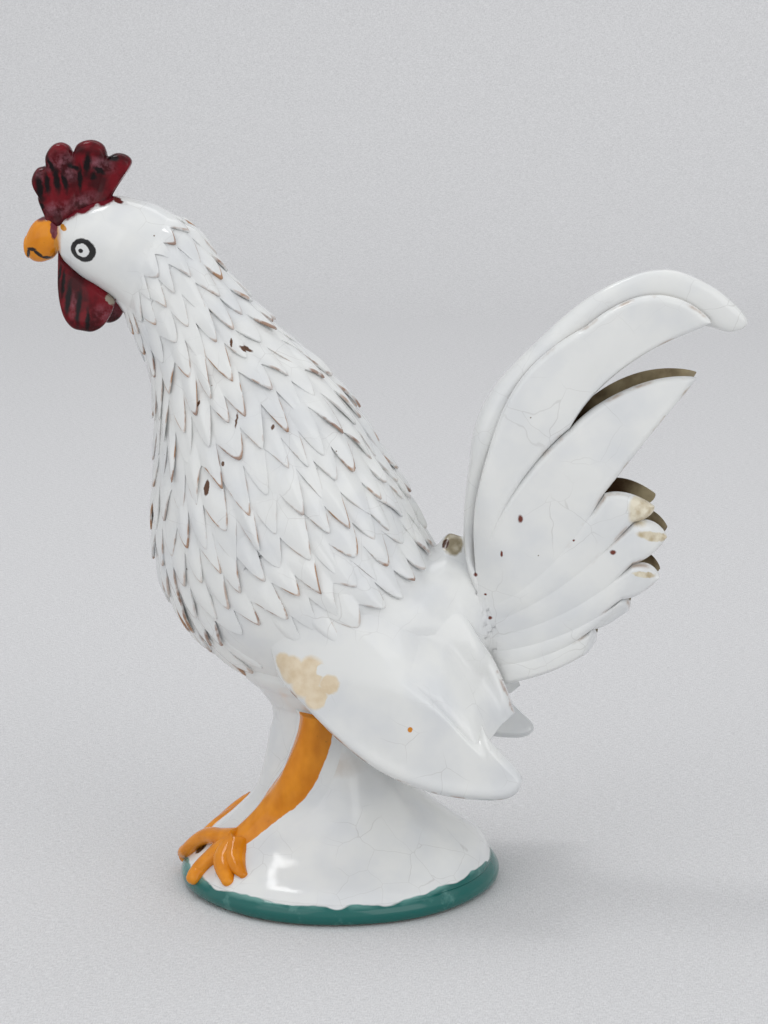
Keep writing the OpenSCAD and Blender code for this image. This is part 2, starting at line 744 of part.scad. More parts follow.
// The top sickle closes the leading edge of the hollow tail and ends in a blade of its own.
sickle_section_shares = [
    [0, 0], [0.05, 0.45], [0.45, 1], [1, 0.9], [1, 0], [1, -0.9], [0.45, -1], [0.05, -0.45]
];
module top_sickle_feather() {
    last = len(sickle_shares) - 1;
    rings = [for (i = [0:last])
        let (
            r = sickle_shares[i],
            up = tail_point([r[0], r[1]]),
            low = tail_point([r[2], r[3]])
        )
        [for (q = sickle_section_shares)
            let (
                p = mix(up, low, q[0]),
                y = q[1] * r[4] * (hollow_at(p[0], p[1]) - seat_gap)
            )
            [p[0], y, i == 0 ? rump_at(p[0], y) + seat_gap + round_gap : p[1]]]];
    color("whitesmoke") tube(rings);
}

// Legs

// A point pushed out of the mound.
function clear_of_mound(p) =
    let (share = mound_share(p), off = seat_gap / norm([p[0], p[1]]))
    share < 1 + off ? [p[0] * (1 + off) / share, p[1] * (1 + off) / share, p[2]] : p;
ankle_x = (foot_r - ankle_in) * cos(ankle_angle);
ankle_y = (foot_r - ankle_in) * sin(ankle_angle);

// The two pulls of a leg's curve: share of the height of the mound, and of the way out.
leg_pull_shares = [[0.72, 0.085], [0.48, 0.5]];
leg_line = concat(
    [[-leg_top_x, leg_y, belly_z + leg_w / 4]],
    [for (p = leg_pull_shares) [
        -mix(leg_top_x, ankle_x, p[1]), mix(leg_y, ankle_y, p[1]), mix(ring_h, belly_z, p[0])
    ]],
    [[-ankle_x, ankle_y, mound_top(-ankle_x, ankle_y, ring_h, belly_z) + ankle_w / 4]]
);
ankle = leg_line[3];
function leg_centre(s) = curve(leg_line, s);
leg_flat_share = 0.75;

module leg() {
    sides = 10;
    step_share = 0.02;
    rings = [for (r = leg_shares)
        let (
            c = leg_centre(r[0]),
            d = r[1] * leg_w / 2,
            ahead = leg_centre(r[0] + step_share) - leg_centre(r[0] - step_share),
            side = cross([0, 1, 0], ahead),
            fore = side / norm(side),
            wide = cross(ahead / norm(ahead), fore)
        )
        [for (j = [0:sides - 1])
            let (
                a = 360 * j / sides,
                p = clear_of_mound(c + d * (cos(a) * fore + leg_flat_share * sin(a) * wide))
            )
            [p[0], p[1], r[0] == 0 ? belly_at(p[0], p[1]) - seat_gap : p[2]]]];
    color("goldenrod") tube(rings);
}

// Height of the mound or of the foot ring below a toe.
function floor_at(x, y) =
    let (
        r = norm([x, y]),
        off = (r - foot_r + ring_h / 2) / ring_h * 2
    )
    r < mound_r ? mound_top(x, y, ring_h, belly_z)
    : ring_h / 2 * (1 + sqrt(max(0, 1 - off * off)));

// Share of toe_d along a toe, and how high its middle lies, as a share of its radius.
toe_width_shares = [[0, 0.6], [0.25, 1], [0.5, 0.93], [0.75, 0.85], [0.92, 0.7], [1, 0.35]];
toe_rise_share = 0.6;

// Toes are rolls of clay from the ankle over the flare of the mound; the inner one arches.
module toe(t) {
    sides = 8;
    angle = 180 - toe_shares[t][0];
    ahead = [cos(angle), sin(angle), 0];
    across = [-sin(angle), cos(angle), 0];
    rings = [for (w = toe_width_shares)
        let (
            s = w[0],
            run = ankle_w / 2 + seat_gap + s * toe_l * toe_shares[t][1],
            x = ankle[0] + run * ahead[0],
            y = ankle[1] + run * ahead[1],
            r = toe_d / 2 * w[1],
            rise = toe_shares[t][2] * toe_d * 4 * s * (1 - s)
        )
        [for (j = [0:sides - 1])
            let (
                a = 360 * j / sides,
                p = [x, y, floor_at(x, y)] + r * (cos(a) * across + [0, 0, sin(a) + toe_rise_share])
            )
            [p[0], p[1], max(p[2], floor_at(p[0], p[1]) + seat_gap + round_gap) + rise]]];
    color("goldenrod") tube(rings);
}

// Feather rows

row_first_share = 0.0143;
row_ease_share = 0.28;
overlap_share = 0.3;
pitch_share = 1 - overlap_share;

// Section at which row k of feathers has its roots.
function row_root(k) =
    let (t = k / feather_rows)
    body_end * mix(row_first_share, feathered_to_share, t * (1 - row_ease_share + row_ease_share * t));
function girth(s) = PI * (3 * (s[2] + s[3]) - sqrt((3 * s[2] + s[3]) * (s[2] + 3 * s[3])));

// Places along a feather: its share of the length, of the half width, and of feather_t.
feather_shares = [[0, 0.72, 0], [0.58, 1, 1], [1, 0.1, 0.7]];

// Height of the quill line over the seat where the row above covers it, and the lift that
// the covering feather needs: it stays on the seat at first and clears the next row's root.
sag_room_share = 0.2;
rise_from_share = 0.3;
covered_top = mix(feather_root_t, feather_t, min(1, overlap_share / feather_shares[1][0]));
tip_lift = covered_top + shingle_gap + feather_t * sag_room_share;
root_lift = feather_root_t + shingle_gap;
lift_slope = (tip_lift - root_lift) / overlap_share;
function feather_lift(s) = max(
    0,
    tip_lift - (1 - s) * lift_slope,
    root_lift * (s - rise_from_share) / (pitch_share - rise_from_share)
);

// A feather's flat back sags by this much between its edges.
function sag(s, half) = max(s[2], s[3]) * (1 - cos(half));

function feather_rings(k, v, half) =
    let (
        u = row_root(k),
        reach = (row_root(k + 1) - u) / pitch_share
    )
    [for (f = feather_shares)
        let (
            s = section_at(body_rows, u + f[0] * reach),
            w = half * f[1],
            low = seat_gap + sag(s, half) * (1 + f[0]) + feather_lift(f[0]),
            edge = f[0] == 0 ? feather_root_t : feather_edge_t,
            quill = f[0] == 0 ? feather_root_t : max(feather_edge_t, feather_t * f[2])
        )
        [
            skin(s, v - w, low), skin(s, v - w, low + edge), skin(s, v, low + quill),
            skin(s, v + w, low + edge), skin(s, v + w, low)
        ]];

// Feathers end where the wings and the mound begin.
wing_top_line = [for (w = wing_rows) w[0]];
function bare(p) =
    p[0] > -wing_x - body_feather_w / 2 && p[2] < lookup(p[0], wing_top_line) + body_feather_w / 4;

module feather_row(k) {
    t = k / (feather_rows - 1);
    s = section_at(body_rows, row_root(k + 0.5));
    wide = mix(neck_feather_w, body_feather_w, t);
    count = 2 * round(girth(s) / wide / 2);
    step = 360 / count;
    trim = 1 - shingle_gap / wide;
    tip_at = row_root(k) + (row_root(k + 1) - row_root(k)) / pitch_share;
    angles = [for (j = [0:count - 1])
        let (v = (j + (k % 2) / 2) * step)
        if (!bare(skin(section_at(body_rows, tip_at), v))) v];
    rings = [for (v = angles) each feather_rings(k, v, step / 2 * trim)];
    n = len(feather_shares);
    m = len(rings[0]);
    faces = [for (i = [0:len(angles) - 1]) each tube_faces(n, m, i * n * m)];
    color("white") closed([for (r = rings) each r], faces);
}

// Mirrors a piece that is modelled on the right onto the named side.
module on_side(side) {
    if (side == "left") mirror([0, 1, 0]) children();
    else children();
}

foot_ring();
mound();
head();
beak();
comb();
top_sickle_feather();
left_body_half();
right_body_half();
for (side = side_names) {
    on_side(side) wattle();
    on_side(side) wing();
    on_side(side) saddle_lobe();
    on_side(side) leg();
    for (t = [0:len(toe_names) - 1])
        on_side(side) toe(t);
    for (k = [0:len(tail_names) - 1])
        on_side(side) tail_feather(k);
}
for (k = [0:feather_rows - 1])
    feather_row(k);
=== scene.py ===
import math

import bpy
import numpy as np
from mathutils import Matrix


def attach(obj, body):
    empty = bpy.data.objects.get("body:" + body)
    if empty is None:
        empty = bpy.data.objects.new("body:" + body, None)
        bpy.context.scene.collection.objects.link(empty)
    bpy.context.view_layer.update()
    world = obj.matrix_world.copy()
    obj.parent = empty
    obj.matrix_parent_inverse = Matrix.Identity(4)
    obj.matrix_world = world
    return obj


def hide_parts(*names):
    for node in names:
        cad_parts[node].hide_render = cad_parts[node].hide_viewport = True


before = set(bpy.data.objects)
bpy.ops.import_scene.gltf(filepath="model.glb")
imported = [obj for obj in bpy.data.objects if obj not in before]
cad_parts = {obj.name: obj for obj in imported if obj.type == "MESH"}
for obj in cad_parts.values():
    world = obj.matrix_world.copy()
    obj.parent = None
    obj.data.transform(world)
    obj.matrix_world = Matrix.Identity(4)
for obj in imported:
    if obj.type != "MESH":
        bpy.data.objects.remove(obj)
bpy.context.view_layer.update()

# Foot ring
# A roll of buff earthenware laid round the edge of the hollow base, which the figurine stands on.
# It is dipped in white tin glaze and painted with a broad blue-green band. Its underside is bare.

BASE_R, RING_W = 70.0, 12.0
MM = 0.001


def surface(name, grids, ends=True, marks=None):
    """A closed piece from grids of points in mm. Each row of a grid is a closed ring, and neighbouring rows
    are joined by quads. With ends, the first and last rows close on their middle points; without, on each
    other. marks holds one value per point for each named attribute."""
    points, faces, values = [], [], {k: [] for k in marks or {}}
    first = 0
    for g, grid in enumerate(grids):
        n, m, _ = grid.shape
        i, j = np.meshgrid(np.arange(n - 1 if ends else n), np.arange(m), indexing="ij")
        k, after = (j + 1) % m, (i + 1) % n
        quads = np.stack([i * m + j, i * m + k, after * m + k, after * m + j], -1).reshape(-1, 4)
        here = grid.reshape(-1, 3)
        tris = np.zeros((0, 3), int)
        if ends:
            here = np.vstack([here, grid[0].mean(0), grid[-1].mean(0)])
            r = np.arange(m)
            q = (r + 1) % m
            tris = np.vstack([
                np.stack([np.full(m, n * m), q, r], -1),
                np.stack([np.full(m, n * m + 1), (n - 1) * m + r, (n - 1) * m + q], -1),
            ])
        fans = np.vstack([quads[:, [0, 1, 2]], quads[:, [0, 2, 3]], tris])
        a, b, c = here[fans[:, 0]], here[fans[:, 1]], here[fans[:, 2]]
        if (a * np.cross(b, c)).sum() < 0:
            quads, tris = quads[:, ::-1], tris[:, ::-1]
        points.append(here)
        faces += (quads + first).tolist() + (tris + first).tolist()
        first += len(here)
        for key in values:
            v = marks[key][g].reshape(-1)
            values[key].append(np.concatenate([v, [v[: m].mean(), v[-m:].mean()]]) if ends else v)
    mesh = bpy.data.meshes.new(name)
    mesh.from_pydata((np.vstack(points) * MM).tolist(), [], faces)
    mesh.shade_smooth()
    for key, v in values.items():
        attribute = mesh.attributes.new(key, "FLOAT", "POINT")
        attribute.data.foreach_set("value", np.concatenate(v).astype(np.float32))
    piece = bpy.data.objects.new(name, mesh)
    bpy.context.scene.collection.objects.link(piece)
    return piece


def place(piece, material, slot, *nodes):
    """Gives a piece its finish, and lets it stand for its CAD nodes on the one rigid body."""
    piece.data.materials.append(material)
    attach(piece, "root")
    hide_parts(*nodes)


def through(rows, u):
    """A smooth curve through rows of numbers, at places u counted in rows: a cubic whose slope at each row is
    half the step between its neighbours."""
    rows, u = np.asarray(rows, float), np.asarray(u, float)
    last = len(rows) - 1
    i = np.clip(np.floor(u).astype(int), 0, last - 1)
    f = (u - i)[..., None]
    a, b, c, d = rows[np.maximum(i - 1, 0)], rows[i], rows[i + 1], rows[np.minimum(i + 2, last)]
    return (b + (c - a) * f / 2 + (2 * a - 5 * b + 4 * c - d) * f * f / 2
            + (3 * b - a - 3 * c + d) * f ** 3 / 2)


def paint(code):
    """An sRGB hex colour as linear red, green, blue and alpha."""
    parts = [int(code[i:i + 2], 16) / 255 for i in (1, 3, 5)]
    return tuple(c / 12.92 if c <= 0.04045 else ((c + 0.055) / 1.055) ** 2.4 for c in parts) + (1.0,)


def add(material, kind, inputs, out=0, **settings):
    """Adds a shader node with its settings and its inputs, numbers or other nodes' outputs, and gives one
    output."""
    node = material.node_tree.nodes.new("ShaderNode" + kind)
    for key, value in settings.items():
        setattr(node, key, value)
    for key, value in inputs.items():
        if isinstance(value, bpy.types.NodeSocket):
            material.node_tree.links.new(value, node.inputs[key])
        else:
            node.inputs[key].default_value = value
    return node.outputs[out]


def coats(material, ground, *layers):
    """Colours laid over a ground one after another. Each layer is a mask and the colour that covers where the
    mask is 1. A colour is an sRGB hex code or another node's output."""
    for mask, colour in layers:
        under, over = [paint(c) if isinstance(c, str) else c for c in (ground, colour)]
        ground = add(material, "Mix", {0: mask, 6: under, 7: over}, out=2, data_type="RGBA")
    return ground


def new_material(name, shader_of):
    """A material that shows one shader. shader_of(material, place) adds its nodes, place in mm, and gives the
    shader's output."""
    material = bpy.data.materials.new(name)
    material.use_nodes = True
    tree = material.node_tree
    tree.nodes.clear()
    at = add(material, "TexCoord", {}, out="Object")
    at = add(material, "VectorMath", {0: at, "Scale": 1 / MM}, operation="SCALE")
    tree.links.new(shader_of(material, at), tree.nodes.new("ShaderNodeOutputMaterial").inputs[0])
    return material


def fired(name, colour_of, roughness=0.11, bump=0.25, shine=0.5):
    """A fired and glazed surface. colour_of(material, place) gives its colour, place in mm. The glaze is
    glassy, IOR 1.5, and lies in slow waves about 9 mm long, which make its highlights wander."""
    def glaze(material, at):
        """The shader of the glaze."""
        colour = colour_of(material, at)
        waves = add(material, "TexNoise", {"Vector": at, "Scale": 1 / 9, "Detail": 1.5, "Roughness": 0.4})
        height = add(material, "Math", {0: waves, 1: bump}, operation="MULTIPLY")
        normal = add(material, "Bump", {"Height": height, "Strength": 0.6, "Distance": MM})
        return add(material, "BsdfPrincipled", {"Base Color": colour, "Roughness": roughness, "IOR": 1.5,
                                                "Specular IOR Level": shine, "Normal": normal})
    return new_material(name, glaze)


def most(material, *masks):
    """The greatest of several masks."""
    found = masks[0]
    for mask in masks[1:]:
        found = add(material, "Math", {0: found, 1: mask}, operation="MAXIMUM")
    return found


def patches(material, at, wide, low, high, full=1.0, **cloud):
    """Soft patches about wide mm across: 0 where a noise is under low, and full where it is over high."""
    cloud = add(material, "TexNoise", {"Vector": at, "Scale": 1 / wide, **cloud})
    return add(material, "MapRange", {"Value": cloud, "From Min": low, "From Max": high, "To Max": full})


WHITE, COOL_WHITE, BUFF = "#e2e3e1", "#d8dadb", "#d9c7a8"


def white_ground(material, at):
    """White tin glaze: milky white, a little greyer where it lies thick, with fine grey-tan crazing in cells
    about 16 mm wide, and a few pinholes under half a millimetre drawn a little larger so that they show."""
    thick = patches(material, at, 22, 0.42, 0.68, Detail=3.0)
    bent = add(material, "TexNoise", {"Vector": at, "Scale": 1 / 12, "Detail": 2.0}, out="Color")
    bent = add(material, "VectorMath", {0: bent, "Scale": 5.0}, operation="SCALE")
    bent = add(material, "VectorMath", {0: at, 1: bent}, operation="ADD")
    cells = add(material, "TexVoronoi", {"Vector": bent, "Scale": 1 / 16}, feature="DISTANCE_TO_EDGE")
    craze = add(material, "MapRange", {"Value": cells, "From Min": 0.011, "From Max": 0.004, "To Max": 0.22})
    patchy = patches(material, at, 30, 0.45, 0.62, Detail=1.0)
    craze = add(material, "Math", {0: craze, 1: patchy}, operation="MULTIPLY")
    holes = add(material, "TexVoronoi", {"Vector": at, "Scale": 1 / 15})
    holes = add(material, "MapRange", {"Value": holes, "From Min": 0.032, "From Max": 0.018})
    return coats(material, WHITE, (thick, COOL_WHITE), (craze, "#8d8780"), (holes, "#6e5a4b"))


def with_green(ground):
    """Adds the painted band: blue-green up to a wavy brush line 9 mm above the table, higher at the back,
    deep where the glaze is thick and pale turquoise where the brush ran dry along its upper edge."""
    def colour_of(material, at):
        """The ground with the band over it, and bare clay where it stands on the table."""
        x, z = [add(material, "SeparateXYZ", {0: at}, out=i) for i in (0, 2)]
        flat = add(material, "VectorMath", {0: at, 1: (1, 1, 0)}, operation="MULTIPLY")
        wave = add(material, "TexNoise", {"Vector": flat, "Scale": 1 / 14, "Detail": 1.5})
        line = add(material, "MapRange", {"Value": wave, "From Min": 0.3, "From Max": 0.7,
                                          "To Min": 7.8, "To Max": 10.2})
        back = add(material, "MapRange", {"Value": x, "From Min": 30.0, "From Max": 62.0, "To Max": 3.4},
                   interpolation_type="SMOOTHSTEP")
        line = add(material, "Math", {0: line, 1: back}, operation="ADD")
        above = add(material, "Math", {0: line, 1: z}, operation="SUBTRACT")
        band = add(material, "MapRange", {"Value": above, "From Min": -0.2, "From Max": 0.25})
        thin = patches(material, at, 16, 0.56, 0.76, full=0.55, Detail=4.0, Roughness=0.6)
        rim = add(material, "MapRange", {"Value": above, "From Min": 1.9, "From Max": 0.0})
        patchy = add(material, "MapRange", {"Value": wave, "From Min": 0.46, "From Max": 0.62,
                                            "To Max": 0.75})
        rim = add(material, "Math", {0: rim, 1: patchy}, operation="MULTIPLY")
        green = coats(material, "#0f5f59", (most(material, thin, rim), "#86b9b1"))
        bare = add(material, "MapRange", {"Value": z, "From Min": 0.5, "From Max": 0.2})
        return coats(material, ground(material, at), (band, green), (bare, BUFF))
    return colour_of


green_glaze = fired("blue_green_brushed_glaze", with_green(white_ground))

turn = np.linspace(0, 2 * np.pi, 192, endpoint=False)
ring_profile = np.array([
    [BASE_R - RING_W, 1.2], [BASE_R - RING_W + 0.8, 0.3], [BASE_R - RING_W + 2.0, 0.0], [BASE_R - 6.5, 0.0],
    [BASE_R - 3.6, 0.25], [BASE_R - 1.5, 1.2], [BASE_R - 0.35, 2.8], [BASE_R, 4.6], [BASE_R - 0.35, 6.3],
    [BASE_R - 1.2, 7.7], [BASE_R - 2.4, 8.8], [BASE_R - 4.2, 9.6], [BASE_R - 7.0, 9.9],
    [BASE_R - 10.5, 9.4], [BASE_R - RING_W, 7.6], [BASE_R - RING_W, 4.4],
])
# The ring keeps the wobble of a hand-rolled coil: a few tenths of a millimetre in and out round its length.
profile = through(ring_profile, np.linspace(0, len(ring_profile) - 1, 46))
wobble = 0.35 * np.sin(3 * turn + 0.6) + 0.25 * np.sin(7 * turn + 2.0) - 0.5
reach = profile[None, :, 0] + wobble[:, None] * (profile[None, :, 0] > BASE_R - 7)
foot = np.stack([reach * np.cos(turn)[:, None], reach * np.sin(turn)[:, None],
                 np.broadcast_to(profile[None, :, 1], reach.shape)], -1)
place(surface("foot_ring_glazed", [foot], ends=False), green_glaze, "green_glaze", "foot_ring")

# Mound
# The hollow base between the ring and the belly, a thrown bell pulled out to one side at the back.
# White tin glaze outside, unglazed buff clay inside, with a soft ridge at the back right.

RING_H, RING_STEP, BELLY_Z = 9.0, 3.5, 77.0
MOUND_WALL = 6.0
MOUND_FORE, MOUND_AFT, MOUND_SIDE = 28.0, 20.0, 26.0
MOUND_R = BASE_R - RING_STEP
BACK_RIDGE_H, BACK_RIDGE_AT, BACK_RIDGE_W = 2.6, math.radians(-38), 0.20
# Rows: height, then fore, aft and sideways reach, from 0 at the neck to 1 at the foot. The last rows run up
# into the belly in a hollow curve, as the slip does that is smoothed round the joint.
mound_rows = np.array([
    [0.00, 1.00, 1.00, 1.00], [0.06, 0.90, 0.98, 0.88], [0.16, 0.74, 0.90, 0.60], [0.28, 0.50, 0.65, 0.35],
    [0.43, 0.26, 0.35, 0.17], [0.60, 0.14, 0.15, 0.07], [0.81, 0.07, 0.04, 0.02], [0.93, 0.02, 0.02, 0.00],
    [1.02, 0.04, 0.07, 0.00], [1.06, 0.08, 0.13, 0.03], [1.10, 0.13, 0.19, 0.07], [1.16, 0.22, 0.24, 0.15],
    [1.21, 0.32, 0.26, 0.24], [1.27, 0.41, 0.26, 0.31], [1.33, 0.44, 0.26, 0.33],
])


def mix(a, b, f):
    """a where f is 0, b where it is 1, and in proportion between."""
    return a + (b - a) * f


def ease(f):
    """0 below 0, 1 above 1, and an S curve between them."""
    f = np.clip(f, 0, 1)
    return f * f * (3 - 2 * f)


def mound_surface(u, a, wall=0.0):
    """A point of the mound at row place u and angle a: an oval whose reach differs fore, aft and sideways."""
    r = through(mound_rows, u)
    fore, aft = mix(MOUND_FORE, MOUND_R, r[..., 1]), mix(MOUND_AFT, MOUND_R, r[..., 2])
    side = mix(MOUND_SIDE, MOUND_R, r[..., 3])
    z = mix(RING_H, BELLY_Z, r[..., 0])
    ridge = BACK_RIDGE_H * np.exp(-((a - BACK_RIDGE_AT) / BACK_RIDGE_W) ** 2)
    ridge = ridge * ease((z - 12) / 22) * (1 - ease((z - 42) / 30))
    x = np.cos(a) * (np.where(np.cos(a) < 0, fore, aft) - wall + ridge)
    y = np.sin(a) * (side - wall + ridge)
    return np.stack([x, y, np.broadcast_to(z, x.shape)], -1)


mound_places = np.linspace(0, len(mound_rows) - 1, 80)[:, None]
around = np.linspace(-np.pi, np.pi, 160, endpoint=False)[None, :]
outside = mound_surface(mound_places, around)
inside = mound_surface(mound_places, around, MOUND_WALL)


def spot(material, at, middle, radii, turn=0.0, rag=0.0, size=3.0, soft=0.12):
    """1 inside an ellipsoid about middle, 0 outside: turn is in degrees about Y, rag is how far in mm its rim
    wanders, over waves of the given size, and soft is the share of the radii over which it fades."""
    if rag:
        noise = add(material, "TexNoise", {"Vector": at, "Scale": 1 / size, "Detail": 3.0}, out="Color")
        noise = add(material, "VectorMath", {0: noise, 1: (0.5, 0.5, 0.5)}, operation="SUBTRACT")
        noise = add(material, "VectorMath", {0: noise, "Scale": rag * 4}, operation="SCALE")
        at = add(material, "VectorMath", {0: at, 1: noise}, operation="ADD")
    inside = add(material, "Mapping", {
        "Vector": at, "Location": middle, "Rotation": (0, math.radians(turn), 0), "Scale": radii,
    }, vector_type="TEXTURE")
    far = add(material, "VectorMath", {0: inside}, out="Value", operation="LENGTH")
    return add(material, "MapRange", {"Value": far, "From Min": 1 + soft, "From Max": 1 - soft})


def mound_colour(material, at):
    """White glaze outside, warmer where it runs thin beside the legs and between the toes, with one brush
    stroke and painted shadow in the gap under the arched inner toe, and bare buff clay inside."""
    warm = spot(material, at, (1, -26, 59), (8, 12, 4), turn=10, rag=1.5, soft=0.7)
    warm = add(material, "Math", {0: warm, 1: 0.35}, operation="MULTIPLY")
    stroke = spot(material, at, (-33.5, -14, 55), (0.55, 12, 6.5), turn=24, rag=0.35, size=2.0)
    # Painted shadow under the arched inner toe of the left foot.
    painted_gap_shade = spot(material, at, (-58.6, -12.6, 15.4), (5.0, 4.0, 2.6), turn=-20, rag=0.4)
    between = spot(material, at, (-52.5, -38.0, 13.5), (7.0, 6.0, 4.0), rag=0.8, soft=0.4)
    between = add(material, "Math", {0: between, 1: 0.6}, operation="MULTIPLY")
    inner = add(material, "Attribute", {}, out="Fac", attribute_name="inner")
    return coats(material, with_green(white_ground)(material, at), (warm, "#b9a28c"), (stroke, "#4a4644"),
                 (painted_gap_shade, "#2e2420"), (between, "#cfc3bf"), (inner, BUFF))


white_base_glaze = fired("white_tin_glaze_on_base", mound_colour)
shell = np.concatenate([outside, inside[::-1]])
inner = np.concatenate([np.zeros(outside.shape[:2]), np.ones(inside.shape[:2])])
place(surface("mound_glazed", [shell.transpose(1, 0, 2)], ends=False, marks={"inner": [inner.T]}),
      white_base_glaze, "white_glaze", "mound")

# Body and head
# The body was pressed in two halves and luted along the middle; the solid head was joined to the neck. Slip
# and the thick white tin glaze hide both joints. The eyes are painted in black on the glaze before firing.

BODY_L, BODY_H, BODY_W, BREAST_X = 150.0, 216.0, 108.0, 83.0
# How far the body is drawn in under the feathers, and the shares of its length at which their rows begin and
# end and at which it has its full width again.
FEATHER_STAND = 2.8
FEATHERS_BEGIN, FEATHERS_END, FULL_AGAIN = 0.0143, 0.607, 0.75
HEAD_L, HEAD_H, HEAD_W = 35.0, 40.0, 38.0
# Sections from the neck to the rump: the point on the back, the point on the breast, and the half width.
body_shares = np.array([
    [0.06, 1.00, -0.07, 0.81, 0.35], [0.15, 0.96, -0.02, 0.74, 0.44], [0.26, 0.87, 0.02, 0.64, 0.54],
    [0.38, 0.785, 0.02, 0.52, 0.65], [0.51, 0.705, 0.01, 0.40, 0.77], [0.62, 0.61, 0.02, 0.295, 0.89],
    [0.695, 0.52, 0.07, 0.205, 0.96], [0.755, 0.45, 0.155, 0.13, 1.00], [0.80, 0.38, 0.27, 0.075, 0.98],
    [0.835, 0.325, 0.42, 0.025, 0.91], [0.875, 0.30, 0.585, 0.00, 0.78], [0.915, 0.285, 0.75, 0.005, 0.63],
    [0.95, 0.275, 0.89, 0.025, 0.48], [0.98, 0.255, 0.98, 0.065, 0.34], [0.99, 0.21, 1.00, 0.11, 0.19],
])
head_shares = np.array([
    [0.00, 0.60, 0.49, -0.36, 0.98], [0.31, 0.64, 0.69, -0.26, 0.90], [0.60, 0.58, 0.83, -0.16, 0.75],
    [0.83, 0.48, 0.94, -0.06, 0.58], [0.97, 0.38, 1.00, 0.03, 0.40],
])
BODY_END = len(body_shares) - 1


def in_place(shares, sizes, origin):
    """Rows of shares in mm: two points of the XZ plane and a width or thickness, times sizes, from origin."""
    (long, high, wide), (x, z) = sizes, origin
    return shares * [long, high, long, high, wide] + [x, z, x, z, 0]


def body_sections():
    """The sections in mm, drawn in by FEATHER_STAND where feathers lie on them."""
    r = in_place(body_shares, (BODY_L, BODY_H, BODY_W / 2), (-BREAST_X, BELLY_Z))
    t = np.arange(len(r)) / BODY_END
    inset = FEATHER_STAND * ease(t / 0.18) * (1 - ease((t - FEATHERS_END) / (FULL_AGAIN - FEATHERS_END)))
    inset = inset[:, None]
    way = r[:, 0:2] - r[:, 2:4]
    way = way / np.linalg.norm(way, axis=1, keepdims=True)
    return np.hstack([r[:, 0:2] - inset * way, r[:, 2:4] + inset * way, r[:, 4:5] - inset])


body_rows = body_sections()
neck = (body_rows[0, 0:2] + body_rows[0, 2:4]) / 2
head_rows = in_place(head_shares, (-HEAD_L, HEAD_H, HEAD_W / 2), neck)
face = (head_rows[-1, 0:2] + head_rows[-1, 2:4]) / 2
BEAK_L, BEAK_H, BEAK_W = 15.0, 17.0, 16.0
beak_shares = np.array([
    [0.30, 0.53, 0.23, -0.56, 1.00], [0.70, 0.38, 0.57, -0.65, 0.88], [0.93, 0.09, 0.83, -0.59, 0.62],
    [1.00, -0.15, 0.97, -0.38, 0.30],
])
beak_rows = in_place(beak_shares, (-BEAK_L, BEAK_H, BEAK_W / 2), face)
# One run of sections from the tip of the beak to the rump keeps the joints smooth.
all_rows = np.vstack([beak_rows[::-1], head_rows[::-1], body_rows])
HEAD_0, BODY_0 = len(beak_rows), len(beak_rows) + len(head_rows)


def skin(u, v, off=0.0):
    """The point at section u and angle v from the back: an ellipse across the section, off mm outside it."""
    r = through(all_rows, u)
    back, front, wide = r[..., 0:2], r[..., 2:4], r[..., 4]
    span = np.linalg.norm(back - front, axis=-1)
    way = (back - front) / span[..., None]
    up, out = np.cos(v) * wide, np.sin(v) * span / 2
    length = np.hypot(up, out)
    rise = np.cos(v) * span / 2 + off * up / length
    side = np.sin(v) * wide + off * out / length
    p = (back + front) / 2 + way * rise[..., None]
    return np.stack([p[..., 0], side, p[..., 1]], -1)


def closing(ring, inwards, steps=4):
    """Rings that round off an end: each shrinks towards the middle and moves on along a quarter ellipse."""
    middle = ring.mean(0)
    a = np.linspace(0, np.pi / 2, steps + 2)[1:-1]
    return np.stack([middle + (ring - middle) * math.cos(t) + inwards * math.sin(t) for t in a])


def tube(u, v, lump=None):
    """The skin as rings, one at each section of u, with lump(points) added."""
    p = skin(u[:, None], v[None, :])
    return p if lump is None else p + lump(p)


all_round = np.linspace(0, 2 * np.pi, 144, endpoint=False)


def hand_lumps(p):
    """Slow unevenness left by fingers: sums of long waves, about half a millimetre high, out along Y."""
    x, y, z = p[..., 0], p[..., 1], p[..., 2]
    w = 0.45 * np.sin(x / 9 + 1.3) * np.sin(z / 11 + 0.4) + 0.3 * np.sin(x / 5.1 - z / 7.3)
    return np.stack([np.zeros_like(w), w * np.sign(y) * ease(np.abs(y) / 12), np.zeros_like(w)], -1)


def saddle(p):
    """Clay smoothed into the corner between the back and the tail. It bridges them in a ridge 12 mm high
    behind the kiln vent and in a low rim in front of it, with the lumps of fingers over the rest."""
    x, y, z = p[..., 0], p[..., 1], p[..., 2]
    top = ease((z - 122) / 12) * ease((x - 37) / 11)
    low_rim, high_ridge = 4.6, 12.5 + 0.22 * (x - 48)
    ridge = mix(low_rim, high_ridge, ease((y + 4) / 11)) * ease((y + 30) / 26) * (1 - ease((y - 14) / 12))
    return hand_lumps(p) + np.stack([np.zeros_like(x), np.zeros_like(x), top * ridge], -1)


def painted_eye(material, at):
    """A brushed black ring about 11 mm across with a white middle and a black dot."""
    ring = spot(material, at, (-105.6, 15, 277.0), (5.8, 12, 5.0), turn=12, rag=0.34, size=2.4, soft=0.04)
    white = spot(material, at, (-106.1, 15, 277.0), (3.1, 12, 2.8), turn=30, rag=0.30, size=1.8, soft=0.06)
    dot = spot(material, at, (-106.8, 15, 276.8), (1.05, 12, 1.0), rag=0.12, size=1.0, soft=0.12)
    ring = add(material, "Math", {0: ring, 1: white}, operation="SUBTRACT", use_clamp=True)
    return most(material, ring, dot)


def on_both_sides(material, at):
    """Places with the left side folded on to the right, so that a mark is painted on both."""
    x, y, z = [add(material, "SeparateXYZ", {0: at}, out=i) for i in range(3)]
    beside = add(material, "Math", {0: y}, operation="ABSOLUTE")
    return add(material, "CombineXYZ", {0: x, 1: beside, 2: z})


